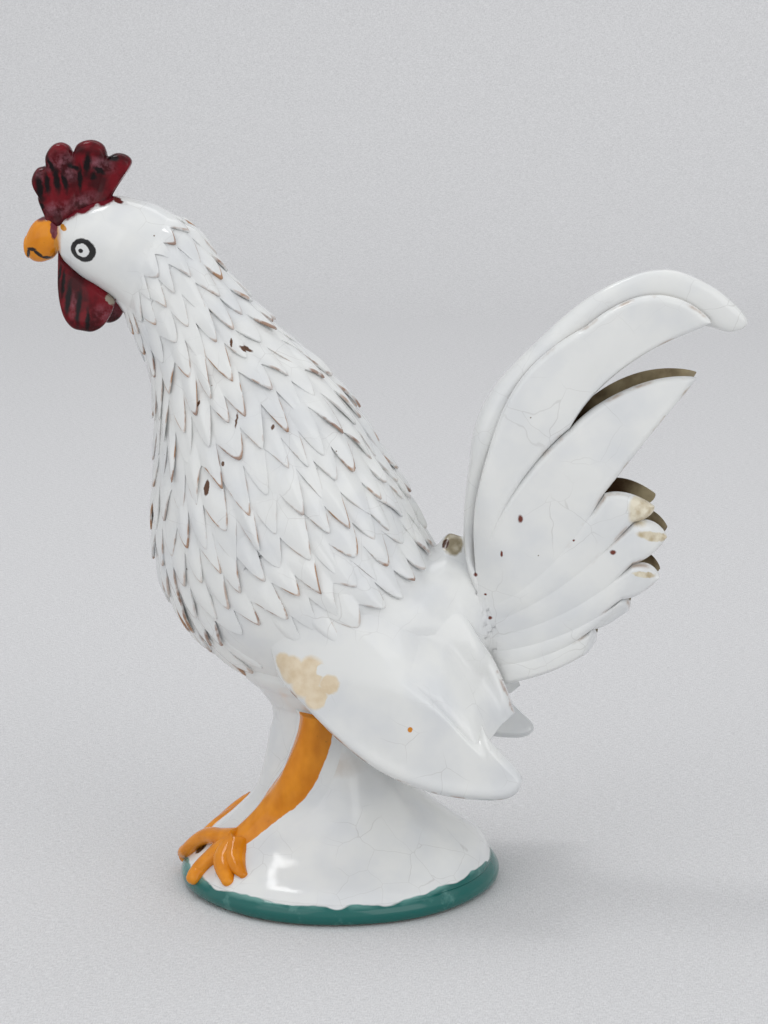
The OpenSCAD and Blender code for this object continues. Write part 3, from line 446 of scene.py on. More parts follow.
def head_colour(material, at):
    """White glaze with the painted eyes and the orange of the beak and red of the comb run on to it."""
    both = on_both_sides(material, at)
    orange = most(material, spot(material, both, (-125.0, 0, 279.5), (8.4, 40, 12.5), rag=0.4),
                  spot(material, both, (-115.2, 8, 285.6), (2.0, 9, 1.2), turn=20, rag=0.2, size=2.0),
                  spot(material, both, (-117.8, 12, 271.0), (2.2, 14, 4.4), turn=-14, rag=0.2, size=2.0))
    red = most(material, spot(material, both, (-117.0, 0, 292.5), (9.5, 20, 4.4), turn=-3, rag=0.6),
               spot(material, both, (-106.0, 0, 296.0), (7.5, 20, 4.3), turn=-28, rag=0.7),
               spot(material, both, (-98.3, 0, 299.0), (4.8, 20, 4.6), rag=0.6),
               spot(material, both, (-119.3, 3, 283.5), (1.4, 9, 3.6), rag=0.3, size=2.0))
    drip = spot(material, at, (-92.0, 0, 296.8), (2.6, 14, 0.9), turn=20, rag=0.2, size=2.0)
    return coats(material, white_ground(material, at), (painted_eye(material, both), "#161414"),
                 (orange, "#c98628"), (red, "#6a1622"), (drip, "#5d2a26"))


white_head_glaze = fired("white_tin_glaze_with_painted_eyes", head_colour)
head_u = np.linspace(HEAD_0 - 0.35, BODY_0 + 1.0, 90)
head = tube(head_u, all_round, hand_lumps)
place(surface("head_glazed", [head]), white_head_glaze, "white_glaze", "head")


def body_colour(material, at):
    """White glaze, with bare buff clay in the kiln vent between the back and the tail, and painted shade in
    the vent's hole.
    """
    rim = spot(material, at, (49.0, 2.0, 150.0), (4.4, 6.5, 5.6), rag=0.5)
    clay = coats(material, "#8c8168", (patches(material, at, 5, 0.4, 0.6, Detail=3.0), "#b4ab96"))
    # The dark of the vent's hole is painted shade.
    vent_hole_shade = spot(material, at, (45.9, 1.5, 150.0), (1.4, 4, 2.0), turn=20, rag=0.3, size=2.0)
    return coats(material, white_ground(material, at), (rim, clay), (vent_hole_shade, "#4a2c1e"))


white_body_glaze = fired("white_tin_glaze_on_body", body_colour)
body_u = np.linspace(BODY_0 + 0.6, BODY_0 + BODY_END, 200)
body = tube(body_u, all_round, saddle)
rump_end = closing(body[-1], np.array([2.0, 0, -1.0]))
place(surface("body_glazed", [np.concatenate([body, rump_end])]),
      white_body_glaze, "white_glaze", "left_body_half", "right_body_half")

# Beak
# A short hooked beak pressed out of the same clay as the head and painted orange-yellow, with the mouth drawn
# in black and a run of the comb's red over its top.


def orange_ground(material, at):
    """Iron-orange glaze: orange-yellow where it is thin, deeper brown-orange where it pools, in streaks about
    8 mm wide that run down, with brown specks about 2 mm apart."""
    long = add(material, "VectorMath", {0: at, 1: (1.0, 1.0, 0.55)}, operation="MULTIPLY")
    pool = patches(material, long, 8, 0.38, 0.66, Detail=3.0)
    speck = patches(material, at, 2.2, 0.70, 0.78, full=0.4, Detail=2.0)
    return coats(material, "#e08e20", (pool, "#cd7a14"), (speck, "#96560f"))


def dabs(material, at, y, deep, places, **kind):
    """Brush dabs of one kind, all y mm from the middle plane and reaching deep mm. Each place is x and z, the
    half width and half height, and the turn in degrees."""
    return most(material, *[spot(material, at, (x, y, z), (wide, deep, high), turn=turned, **kind)
                            for x, z, wide, high, turned in places])


def beak_colour(material, at):
    """The orange, with the mouth drawn in four black strokes and the red of the comb over the top."""
    both = on_both_sides(material, at)
    mouth = dabs(material, both, 4, 9, [
        (-131.2, 273.9, 0.8, 2.3, 14), (-129.4, 275.9, 2.0, 0.85, 6), (-126.6, 273.9, 2.7, 0.85, 42),
        (-123.4, 272.3, 2.2, 0.8, 2),
    ], rag=0.2, size=2.0, soft=0.2)
    run = spot(material, both, (-119.9, 3, 284.5), (1.5, 9, 4.6), turn=-4, rag=0.35, size=2.0)
    top = spot(material, both, (-122.0, 0, 291.0), (7.5, 8, 3.6), turn=-12, rag=0.5)
    return coats(material, orange_ground(material, at), (mouth, "#2a211c"),
                 (most(material, run, top), "#6b2a35"))


orange_beak_glaze = fired("orange_glaze_on_beak", beak_colour, shine=0.3)
beak_u = np.linspace(0.75, HEAD_0 + 0.2, 44)
beak = tube(beak_u, all_round[::2])
beak_tip = closing(beak[0], np.array([-1.9, 0, -1.2]), 9)[::-1]
place(surface("beak_glazed", [np.concatenate([beak_tip, beak])]), orange_beak_glaze, "orange_glaze", "beak")

# Comb
# A slab of clay cut into lobes, rounded over with a wet finger and luted along the skull. Dark red glaze with
# black brush strokes, and a milky pink reflection painted over the lobes and along the foot.

COMB_R, COMB_T, COMB_L = 28.0, 9.0, 28.0
COMB_RIM, COMB_FILLET, COMB_IN = 3.0, 1.3, 1.8
comb_shares = np.array([
    [192, 0.62], [182, 0.66], [173, 0.70], [166, 0.72], [158, 0.84], [151, 0.88], [142, 0.88], [134, 0.82],
    [127, 0.93], [117, 1.00], [109, 0.99], [103, 0.91], [100, 0.81], [95, 0.91], [87, 0.97], [79, 0.99],
    [71, 0.96], [66, 0.89], [62, 0.83], [57, 0.93], [50, 1.00], [43, 1.01], [39, 0.94], [35, 0.74],
    [30, 0.54], [20, 0.42],
])


def red_ground(strokes, painted_sheens):
    """Dark red glaze, browner where it lies thin, under a milky mauve sheen painted in as a reflection.
    strokes(material, at) and painted_sheens(material, at) are the masks of the black brush strokes and of the
    painted reflection."""
    def colour_of(material, at):
        """The red of one kind of piece."""
        tone = patches(material, at, 8, 0.40, 0.62, Detail=3.0)
        # A painted reflection: a milky mauve sheen, broken into patches.
        cloud = patches(material, at, 4, 0.40, 0.66, full=0.7, Detail=5.0, Roughness=0.7)
        painted_sheen = add(material, "Math", {0: cloud, 1: painted_sheens(material, at)}, operation="MULTIPLY")
        return coats(material, "#3d0a10", (tone, "#6c121c"), (painted_sheen, "#8a5e68"),
                     (strokes(material, at), "#150d0f"))
    return colour_of


def comb_strokes(material, at):
    """Upright strokes 1 to 3 mm wide, brushed up from the foot of each lobe, and two that run across."""
    return dabs(material, at, 0, 30, [
        (-125.8, 301.6, 1.6, 5.6, -4), (-122.6, 303.4, 1.1, 4.6, -6), (-118.6, 305.2, 1.5, 5.6, -8),
        (-114.9, 304.4, 1.1, 4.4, -12), (-108.5, 305.6, 0.9, 5.6, 0), (-111.2, 310.6, 3.0, 1.0, 24),
        (-105.3, 312.2, 1.6, 5.0, 8), (-100.2, 309.2, 2.8, 1.0, 22), (-94.2, 314.6, 2.8, 1.3, 10),
        (-120.9, 311.6, 1.0, 3.6, -28), (-102.6, 306.8, 1.2, 1.6, 0), (-125.4, 294.0, 1.2, 1.4, 0),
    ], rag=0.6, size=2.5, soft=0.35)


def comb_painted_sheen(material, at):
    """Painted reflection: milky sheen in patches in the lobes and a band along the foot."""
    return dabs(material, at, 0, 30, [
        (-117.0, 312.6, 5.2, 3.2, -20), (-112.7, 308.0, 3.0, 3.4, 0), (-99.6, 311.6, 5.6, 2.6, 14),
        (-117.5, 293.2, 6.0, 2.4, -8), (-107.5, 296.4, 6.0, 2.5, -22), (-125.6, 306.5, 1.5, 2.6, 0),
    ], rag=0.6, size=4.0, soft=0.5)


red_comb_glaze = fired("dark_red_glaze_on_comb", red_ground(comb_strokes, comb_painted_sheen), roughness=0.10,
                       bump=0.5, shine=0.18)
line_u = np.linspace(0, BODY_0 + 4, 300)
top_line = skin(line_u, np.zeros(300))


def skull_at(x):
    """Height of the top of the head and neck at x."""
    return np.interp(x, top_line[:, 0], top_line[:, 2])


def rounded(far, reach):
    """Share of its full thickness that a round rim has, far mm in from its edge: a quarter circle."""
    return np.sqrt(1 - (1 - np.clip(far / reach, 0, 1)) ** 2)


comb_foot = neck[0] - 0.33 * HEAD_L
comb_middle = comb_foot - COMB_L * 0.45
steps = np.linspace(0, len(comb_shares) - 1, 150)
polar = through(comb_shares, steps)
angle = np.radians(polar[:, 0])
rim = np.stack([comb_middle + COMB_R * polar[:, 1] * np.cos(angle),
                skull_at(comb_middle) + COMB_R * polar[:, 1] * np.sin(angle)], -1)
base_x = comb_foot - COMB_L * (1 - steps / steps[-1])
base = np.stack([base_x, skull_at(base_x) - COMB_IN], -1)
deep = (1 - np.cos(np.linspace(0, np.pi / 2, 22))) ** 1.1
flat = mix(rim[:, None, :], base[:, None, :], deep[None, :, None])
tall = np.linalg.norm(rim - base, axis=1)[:, None]
# Half thickness: a round rim, furrows between the lobes, and a fillet at the skull.
lobe_tops = np.interp(polar[:, 0], [20, 60, 192], [1.01, 0.99, 0.90])
furrow_depth = 1 - 0.9 * (1 - polar[:, 1] / lobe_tops)[:, None]
half_thick = COMB_T / 2 * rounded(deep[None, :] * tall, COMB_RIM) * np.clip(furrow_depth, 0.6, 1)
half_thick = half_thick * mix(0.9, 1.0, deep[None, :]) + COMB_FILLET * np.exp(
    -(1 - deep[None, :]) * tall / 2.0)
front = np.stack([flat[..., 0], -half_thick, flat[..., 1]], -1)
behind = front[:, ::-1][:, :-1] * [1, -1, 1]
place(surface("comb_glazed", [np.concatenate([front, behind], 1)]), red_comb_glaze, "red_glaze", "comb")

# Wattles
# Two flaps of clay hung from the jaw and pressed on with a thumb, in the red of the comb. They splay apart
# towards their rounded lower ends.

WATTLE_L, WATTLE_DROP, WATTLE_T, WATTLE_Y, WATTLE_SPLAY, WATTLE_SWING = 25.0, 24.0, 6.0, 7.0, 5.0, 4.0
wattle_shares = np.array([
    [0.00, 0.20], [0.04, 0.48], [0.12, 0.74], [0.26, 0.91], [0.44, 0.96], [0.62, 0.97], [0.80, 0.86],
    [0.94, 0.62], [1.00, 0.36],
])
jaw_line = skin(line_u, np.full(300, np.pi))
jaw_line = jaw_line[np.argsort(jaw_line[:, 0])]


def jaw_at(x):
    """Height of the jaw and throat at x."""
    return np.interp(x, jaw_line[:, 0], jaw_line[:, 2])


def wattle_strokes(material, at):
    """Long slanting strokes down the front half of each wattle."""
    return dabs(material, at, 0, 30, [
        (-115.4, 262.0, 0.9, 6.0, 4), (-113.2, 255.5, 1.4, 7.5, 6), (-108.6, 252.0, 1.3, 8.5, 4),
        (-104.6, 246.8, 1.1, 5.5, 0), (-117.0, 266.5, 0.7, 3.4, 6),
    ], rag=0.5, size=2.5, soft=0.3)


def wattle_painted_sheen(material, at):
    """Painted reflection: milky sheen over the full lower lobe, and a strip of it down the front."""
    # These masks paint a reflection, not a colour of the glaze.
    lobe = spot(material, at, (-98.0, 250, 249.5), (4.5, 500, 3.6), rag=0.6, size=4.0, soft=0.6)
    front = spot(material, at, (-111.0, 250, 253.0), (1.6, 500, 5.0), turn=4, rag=0.3, soft=0.5)
    return most(material, lobe, front)


def wattle_colour(material, at):
    """The red, with a bare grey-beige hollow where the near wattle meets the throat."""
    hollow = spot(material, at, (-95.4, -14, 255.6), (1.5, 9, 2.6), turn=-38, rag=0.8, size=1.6)
    return coats(material, red_ground(wattle_strokes, wattle_painted_sheen)(material, at), (hollow, "#8f8779"))


def sheet(flat, outer, inner):
    """A closed sheet over points flat of the XZ plane: each row runs out over the face at Y = outer and back
    over the face at Y = inner."""
    there, back = [np.stack([flat[..., 0], y, flat[..., 1]], -1) for y in (outer, inner)]
    return np.concatenate([there, back[:, ::-1][:, 1:-1]], 1)


def moved(p, x=0.0, z=0.0):
    """Points moved along X and Z."""
    return np.stack([p[..., 0] + x, p[..., 1], p[..., 2] + z], -1)


def place_pair(name, right, left, material, slot, marks=None):
    """Makes and places the right and the left piece of a pair. The left shape is given as if it lay on the
    right, and is mirrored here."""
    for side, shape in (("right", right), ("left", left * [1, -1, 1])):
        place(surface(f"{side}_{name}_glazed", [shape], marks=marks), material, slot, f"{side}_{name}")


red_wattle_glaze = fired("dark_red_glaze_on_wattles", wattle_colour, roughness=0.10, bump=0.5, shine=0.18)
edge_at = through(wattle_shares, np.linspace(0, len(wattle_shares) - 1, 70))
wx = face[0] + edge_at[:, 0] * WATTLE_L
reference = jaw_at(face[0] + WATTLE_L / 4)
upper = np.stack([wx, jaw_at(wx) + 3.0], -1)
lower = np.stack([wx, reference - edge_at[:, 1] * WATTLE_DROP], -1)
share = (1 - np.cos(np.linspace(0, np.pi, 26))) / 2
flat = mix(upper[:, None, :], lower[:, None, :], share[None, :, None])
long = np.linalg.norm(upper - lower, axis=1)[:, None]
edge = np.minimum(share, 1 - share)[None, :] * long
side_edge = np.minimum(np.arange(70), 69 - np.arange(70))[:, None] / 69 * WATTLE_L
thick = WATTLE_T * rounded(edge, 4.5) * rounded(np.maximum(side_edge, 0.15), 5.0)
hang = WATTLE_Y - WATTLE_T / 2 + WATTLE_SPLAY * (reference - flat[..., 1]) / WATTLE_DROP
swell = 1 + 0.18 * np.sin(flat[..., 0] / 3.4 + 0.8)
wattle = sheet(flat, hang + WATTLE_T / 2 + thick / 2 * swell, hang + WATTLE_T / 2 - thick / 2)
# The right wattle hangs WATTLE_SWING further back at its lower end.
swing = WATTLE_SWING * np.clip((reference - wattle[..., 2]) / WATTLE_DROP, 0, 1)
place_pair("wattle", moved(wattle, x=swing), wattle, red_wattle_glaze, "red_glaze")

# Feather rows
# Thin leaves of soft clay pressed on with a finger, row after row from the neck to the flanks, with the tips
# over the roots of the next row. The glaze floods the joints and shrinks back from the sharp tips, which fire
# brown. One piece is one row: a collar whose lower edge is cut into the feathers' tips.

ROWS = 13
NECK_FEATHER_W, BODY_FEATHER_W = 8.2, 11.0
OVERLAP, PITCH_GROWTH = 0.3, 0.28
# Along a feather, as shares of its reach: where its root lies under the row before, and its height in mm.
FEATHER_START, FEATHER_RISE = -0.28, 2.6
FEATHER_COLUMNS = 16
WING_L, WING_H, WING_T, WING_BACK, WING_DROP = 106.0, 65.0, 7.0, 59.0, 24.0
WING_X, WING_Z = BREAST_X - WING_BACK, BELLY_Z - WING_DROP
# The wing from shoulder to tip: a point on its upper edge, one on its lower edge, and its thickness.
wing_shares = np.array([
    [0.00, 0.90, 0.02, 0.74, 0.45], [0.13, 0.94, 0.12, 0.60, 0.70], [0.32, 0.89, 0.28, 0.35, 0.90],
    [0.51, 0.85, 0.46, 0.15, 1.00], [0.68, 0.72, 0.64, 0.035, 1.00], [0.82, 0.50, 0.79, 0.00, 1.00],
    [0.93, 0.31, 0.91, 0.01, 0.90], [0.985, 0.21, 0.97, 0.05, 0.65], [1.00, 0.15, 0.995, 0.11, 0.35],
])
wing_rows = in_place(wing_shares, (WING_L, WING_H, WING_T), (-WING_X, WING_Z))


def row_root(k):
    """Section at which row k of feathers has its roots: the pitch grows steadily down the body."""
    t = k / ROWS
    return BODY_0 + BODY_END * mix(FEATHERS_BEGIN, FEATHERS_END, t * (1 - PITCH_GROWTH + PITCH_GROWTH * t))


def row_reach(k):
    """How far the feathers of row k reach down the body: their pitch, and the part that laps the next row."""
    return (row_root(k + 1) - row_root(k)) / (1 - OVERLAP)


def girth(u):
    """Length round the body at section u: an ellipse's, to within a few parts in a million."""
    r = through(all_rows, u)
    a, b = np.linalg.norm(r[0:2] - r[2:4]) / 2, r[4]
    return math.pi * (3 * (a + b) - math.sqrt((3 * a + b) * (a + 3 * b)))


def bare(p):
    """Where the wings and the mound begin there are no feathers."""
    return (p[:, 0] > -WING_X - BODY_FEATHER_W / 2) & (
        p[:, 2] < np.interp(p[:, 0], wing_rows[:, 0], wing_rows[:, 1]) + BODY_FEATHER_W / 4)


def runs_of(present):
    """Runs of neighbouring feathers round a row, as lists of places; a full row is one run."""
    n = len(present)
    if present.all():
        return [np.arange(n)]
    start = int(np.argmin(present))
    order = (np.arange(n) + start) % n
    found, run = [], []
    for j in order:
        if present[j]:
            run.append(j)
        elif run:
            found.append(np.array(run))
            run = []
    return found + ([np.array(run)] if run else [])


# Places along a feather's top from its root to its edge, as shares, then round the edge and back underneath.
top_places = np.array([0, 0.12, 0.26, 0.40, 0.52, 0.63, 0.73, 0.82, 0.89, 0.94, 0.975, 1.0])
EDGE_TURNS = np.linspace(0, np.pi, 6)[1:]
under_places = np.array([0.9, 0.7, 0.4])
ring_edge = np.array([0, 0, 0, 0, 0, 0, 0, 0, 0, 0.15, 0.75, 1, 1, 1, 0.9, 0.5, 0.2, 0, 0, 0])


def faint(p):
    """How little the feathers stand out at points p: they are shallow behind the head, along the smooth ridge
    under the near shoulder and where the glaze ran together on the near side of the breast."""
    x, y, z = p[:, 0], p[:, 1], p[:, 2]
    near = ease((-y - 5) / 15)
    head = 0.65 * np.exp(-(((x + 90) / 18) ** 2 + ((z - 270) / 22) ** 2))
    ridge = 0.75 * near * np.exp(-(((x + 43 + (z - 148) / 6) / 6) ** 2 + ((z - 148) / 26) ** 2))
    flood = 0.45 * near * np.exp(-(((x + 26) / 14) ** 2 + ((z - 190) / 16) ** 2))
    return np.clip(head + ridge + flood, 0, 0.85)


def collar(k, run, count, whole):
    """One run of feathers: columns of points from root to edge and back, side by side. A feather's edge lies
    at share L of its reach, L = notch + (tip - notch)(1 - |w|^p), with w from -1 to 1 across it. Its top
    stands FEATHER_RISE sin(90 deg f / 0.8) off the body along the middle and falls by w^2 to a furrow on each
    side, so that it lies flush at the notches and stands free at the tip."""
    rng = np.random.default_rng(500 + k)
    tip_len = rng.uniform(0.84, 1.16, count)
    notch = rng.uniform(0.26, 0.50, count)
    skew = rng.uniform(-0.38, 0.38, count)
    power = rng.uniform(1.15, 1.7, count)
    lift = rng.uniform(-0.5, 0.6, count)
    shift = rng.uniform(-0.20, 0.20, count)
    brown = rng.uniform(0.2, 1.0, count)
    roll = rng.uniform(-0.5, 0.5, count)
    keel = rng.uniform(0.0, 0.35, count)
    step = 2 * np.pi / count
    u, reach = row_root(k), row_reach(k)
    middles = skin(np.full(count, u + 0.6 * reach), (np.arange(count) + (k % 2) / 2) * step)
    strong = (1 - faint(middles)) * np.where(rng.random(count) < 0.14, 0.3, rng.uniform(0.7, 1.15, count))
    j = np.repeat(run, FEATHER_COLUMNS)
    w = np.tile(np.arange(FEATHER_COLUMNS) / FEATHER_COLUMNS * 2 - 1, len(run))
    if not whole:
        j, w = np.append(j, run[-1]), np.append(w, 1.0)
    after, before = (j + 1) % count, (j - 1) % count
    left = (j - 0.5 + (k % 2) / 2 + shift[j]) * step
    right = (j + 0.5 + (k % 2) / 2 + shift[after]) * step
    v = mix(left, right, (w + 1) / 2)
    bent = np.clip(w - skew[j] * (1 - w * w), -1, 1)
    low = mix(notch[j], notch[after], (w + 1) / 2)
    full = low + (tip_len[j] - low) * (1 - np.abs(bent) ** power[j])
    # Neighbours share their furrow, so the height there is the mean of both.
    own = np.where(w < 0, mix(strong[before], strong[j], (w + 2) / 2), mix(strong[j], strong[after], w / 2))
    f = FEATHER_START + (full[:, None] - FEATHER_START) * np.concatenate([top_places, under_places])[None, :]
    across = 1 - 0.80 * np.abs(w[:, None]) ** (2 - keel[j][:, None] * 2)
    rise = FEATHER_RISE * np.sin(np.pi / 2 * np.clip(f / 0.8, 0, 1)) * across * own[:, None]
    tip_part = ease((f - 0.5) / 0.5) * (1 - w * w)[:, None] * own[:, None]
    rise = rise + tip_part * (lift[j] - 0.3)[:, None] + (roll[j] * w * own)[:, None] * tip_part
    if k == 0:
        rise = rise * ease((f - 0.05) / 0.65) - 0.5 * (1 - ease(f / 0.4))
    rise = np.where(f < 0, 2.2 * f, rise + 0.12 * ease(f / 0.1))
    top, under_top = rise[:, :len(top_places)], rise[:, len(top_places):]
    f_top, under_f = f[:, :len(top_places)], f[:, len(top_places):]
    mm_per_share = np.linalg.norm(skin(np.array(u + reach), v) - skin(np.array(u), v), axis=-1)[:, None]
    r = np.clip(top[:, -1:] * 0.45, 0.25, 0.6)
    edge_f = f_top[:, -1:] + np.sin(EDGE_TURNS)[None, :] * r / mm_per_share
    edge_h = top[:, -1:] - r * (1 - np.cos(EDGE_TURNS))[None, :]
    under_h = np.minimum(under_top - 2 * r, edge_h[:, -1:])
    fs = np.concatenate([f_top, edge_f, under_f], 1)
    hs = np.concatenate([top, edge_h, under_h], 1)
    if not whole:
        # The last feathers of a run sink into the flank over half a feather.
        place_in = np.minimum(np.arange(len(v)), len(v) - 1 - np.arange(len(v))) / FEATHER_COLUMNS
        hs = hs - 2.2 * (1 - ease(place_in / 0.5))[:, None]
    slow = 0.05 * np.sin(2 * v + 1.7 * k) + 0.03 * np.sin(5 * v + k)
    points = skin(u + (fs + slow[:, None]) * reach, np.broadcast_to(v[:, None], fs.shape), hs)
    tipness = ease((full - low) / 0.25)
    edge = ring_edge[None, :] * (brown[j] * np.minimum(own, 1) * (0.15 + 0.85 * tipness))[:, None]
    return points, edge


def worn_edge(material, at, wide, low, high, **cloud):
    """Where the glaze has shrunk back along a marked edge, broken up into patches about wide mm long."""
    edge = add(material, "Attribute", {}, out="Fac", attribute_name="edge")
    patchy = patches(material, at, wide, low, high, **cloud)
    return add(material, "Math", {0: edge, 1: patchy}, operation="MULTIPLY")


def feather_colour(material, at):
    """White glaze that has shrunk back from the feathers' edges, which show the clay as thin tan-brown lines,
    and painted shade in a few open gaps under tips."""
    line = worn_edge(material, at, 6, 0.34, 0.60, Detail=3.0)
    line = add(material, "MapRange", {"Value": line, "From Min": 0.10, "From Max": 0.55, "To Max": 0.92})
    tan = coats(material, "#967868", (patches(material, at, 18, 0.4, 0.6, Detail=1.0), "#a67850"))
    # Painted shade in gaps under tips. Each gap: x, y and z of its middle, its half width and half height,
    # and its turn in degrees.
    painted_gap_shades = [(-51.0, -42, 181.7, 1.2, 3.4, 8), (-38.6, -46, 209.9, 0.7, 4.0, 6),
            (-23.6, -44, 206.8, 1.2, 1.2, 0), (-35.8, -32, 237.6, 3.6, 0.9, 28),
            (-42.0, -30, 240.5, 0.7, 2.0, -6), (-36.4, -22, 262.9, 1.1, 1.0, 0),
            (-44.2, -46, 192.0, 0.9, 1.0, 0), (-54.9, -40, 216.0, 0.6, 1.6, 10)]
    painted_gap_shade = most(material, *[dabs(material, at, y, 14, [(x, z, wide, high, turned)], rag=0.35, size=2.0)
                           for x, y, z, wide, high, turned in painted_gap_shades])
    # The gaps' dark brown is painted shade.
    return coats(material, white_ground(material, at), (line, tan), (painted_gap_shade, "#5a3a25"))


feather_glaze = fired("white_tin_glaze_on_feathers", feather_colour)
for k in range(ROWS):
    wide = mix(NECK_FEATHER_W, BODY_FEATHER_W, k / (ROWS - 1))
    count = 2 * round(girth(row_root(k + 0.5)) / wide / 2)
    tip_at = row_root(k) + row_reach(k)
    angles = (np.arange(count) + (k % 2) / 2) * 2 * np.pi / count
    present = ~bare(skin(np.full(count, tip_at), angles))
    made = [collar(k, run, count, bool(present.all())) for run in runs_of(present)]
    row = surface(f"feather_row_{k + 1:02d}_glazed", [m[0] for m in made], ends=not present.all(),
                  marks={"edge": [m[1] for m in made]})
    place(row, feather_glaze, "feather_glaze", f"feather_row_{k + 1:02d}")

# Wings
# Flat flaps about 7 mm thick, luted to the flanks and smoothed into them along the top, with a thick rounded
# lower edge. The near one has lost its glaze at the shoulder, down to the buff clay.

# Cuts across the body close together: their middles, and the way and half the distance from belly to back.
cuts = through(all_rows, np.linspace(BODY_0, BODY_0 + BODY_END, 85))
cut_middle = (cuts[:, 0:2] + cuts[:, 2:4]) / 2
cut_way = cuts[:, 0:2] - cuts[:, 2:4]
cut_half = np.linalg.norm(cut_way, axis=1) / 2
cut_way = cut_way / (2 * cut_half)[:, None]


def half_width(x, z):
    """Half the width of the body at points of the XZ plane: the greatest found between neighbouring sections
    that lie on either side of a point, and 0 off the body."""
    shape = np.broadcast(x, z).shape
    p = np.stack([np.broadcast_to(x, shape), np.broadcast_to(z, shape)], -1).reshape(-1, 1, 2)
    d = p - cut_middle
    past = d[..., 0] * cut_way[:, 1] - d[..., 1] * cut_way[:, 0]
    a, b = past[:, :-1], past[:, 1:]
    f = np.where(np.abs(a - b) > 0, a / np.where(a == b, 1, a - b), 0)
    middle = mix(cut_middle[:-1], cut_middle[1:], f[..., None])
    way = mix(cut_way[:-1], cut_way[1:], f[..., None])
    half = mix(cut_half[:-1], cut_half[1:], f)
    wide = mix(cuts[:-1, 4], cuts[1:, 4], f)
    up = ((p - middle) * way).sum(-1) / np.linalg.norm(way, axis=-1) / half
    found = np.where((a * b <= 0) & (np.abs(up) < 1), wide * np.sqrt(np.maximum(0, 1 - up * up)), 0)
    return found.max(1).reshape(shape)


WING_PRESS, WING_FLARE = 0.5, 8.0
# The rounding of the lower and of the upper edge, and how far the slip over the upper edge reaches above it.
WING_LOW_RIM, WING_TOP_RIM, SLIP_REACH = 4.2, 3.4, 26.0
# How much lower the right wing lies at its tip, on its lower and on its upper edge.
DROOP_BELOW, DROOP_ABOVE = 4.5, 12.0


def wing_flare_at(x):
    """How far the wing stands out at x by its flare."""
    return WING_FLARE * (x + WING_X) / WING_L


flank_reach = (half_width(wing_rows[:, 0], wing_rows[:, 1]) - wing_flare_at(wing_rows[:, 0])).max()


def wing_seat(x):
    """Distance of the wing's inner face from the middle plane at x."""
    return flank_reach - WING_PRESS + wing_flare_at(x)


def wing_colour(material, at):
    """White glaze with the chipped shoulder and a stray drop of orange, both on the near side only."""
    chip = dabs(material, at, -56, 20, [(-15.0, 106.5, 6.0, 6.6, 20), (-18.5, 109.5, 4.0, 4.4, 20),
                                        (-8.0, 104.0, 6.5, 9.5, 24), (-4.0, 95.5, 4.6, 5.6, 30)],
                rag=0.5, size=4.0)
    chip = most(material, chip, dabs(material, at, -56, 20, [(1.6, 101.5, 4.2, 4.4, 30)], rag=0.5))
    bite = dabs(material, at, -56, 20, [(-1.8, 107.5, 2.2, 2.6, 0), (1.6, 94.0, 1.6, 3.6, 20)], rag=0.4)
    chip = add(material, "Math", {0: chip, 1: bite}, operation="SUBTRACT", use_clamp=True)
    clay = coats(material, "#e4d5bb", (patches(material, at, 4, 0.35, 0.7, Detail=4.0), "#d8c4a4"))
    drop = spot(material, at, (35.7, -57, 84.1), (1.0, 10, 1.2), turn=10, rag=0.15, size=2.0)
    line = worn_edge(material, at, 7, 0.52, 0.62, Detail=4.0)
    return coats(material, white_ground(material, at), (chip, clay), (drop, "#cf8420"), (line, "#a08474"))


wing_glaze = fired("white_tin_glaze_on_wings", wing_colour)


def uneven(p, k):
    """Hand-cut clay is never quite flat or straight: long waves up to 0.6 mm high, other ones for each k."""
    x, y, z = p[..., 0], p[..., 1], p[..., 2]
    return np.stack([x + 0.5 * np.sin(z / 9 + 1.7 * k), y + 0.4 * np.sin(x / 8 + k) * np.sin(z / 10 + 2 * k),
                     z + 0.5 * np.sin(x / 10 + 2.3 * k)], -1)


def outside_only(mark):
    """A mark on the outer face of a sheet, and none on its inner face."""
    return np.concatenate([mark, np.zeros((len(mark), mark.shape[1] - 2))], 1)


# The width of the body on a grid, carried on past its outline as a bank of slip that falls SLIP_SLOPE mm in
# each mm.
SLIP_SLOPE = 1.1
flank_x, flank_z = np.arange(-120.0, 150.0), np.arange(5.0, 215.0)
flank_blur = np.array([1, 4, 6, 4, 1]) / 16
flank = half_width(flank_x[:, None], flank_z[None, :])
for _ in range(30):
    for step_x, step_z in ((1, 0), (-1, 0), (0, 1), (0, -1), (1, 1), (1, -1), (-1, 1), (-1, -1)):
        near = np.roll(flank, (step_x, step_z), (0, 1)) - SLIP_SLOPE * math.hypot(step_x, step_z)
        flank = np.maximum(flank, near)
for axis in (0, 1):
    flank = sum(w * np.roll(flank, k, axis) for w, k in zip(flank_blur, range(-2, 3)))


def flank_at(x, z):
    """The grid's width at any point, interpolated between its four neighbours."""
    i = np.clip(x - flank_x[0], 0, len(flank_x) - 1.001)
    j = np.clip(z - flank_z[0], 0, len(flank_z) - 1.001)
    i0, j0 = i.astype(int), j.astype(int)
    lower = mix(flank[i0, j0], flank[i0 + 1, j0], i - i0)
    upper = mix(flank[i0, j0 + 1], flank[i0 + 1, j0 + 1], i - i0)
    return mix(lower, upper, j - j0)


stations = np.linspace(0, len(wing_rows) - 1, 150)
rows = through(wing_rows, stations)
top_edge, low_edge = rows[:, 0:2], rows[:, 2:4]
lean = top_edge - low_edge
tall = np.linalg.norm(lean, axis=1)[:, None]
lean = lean / tall
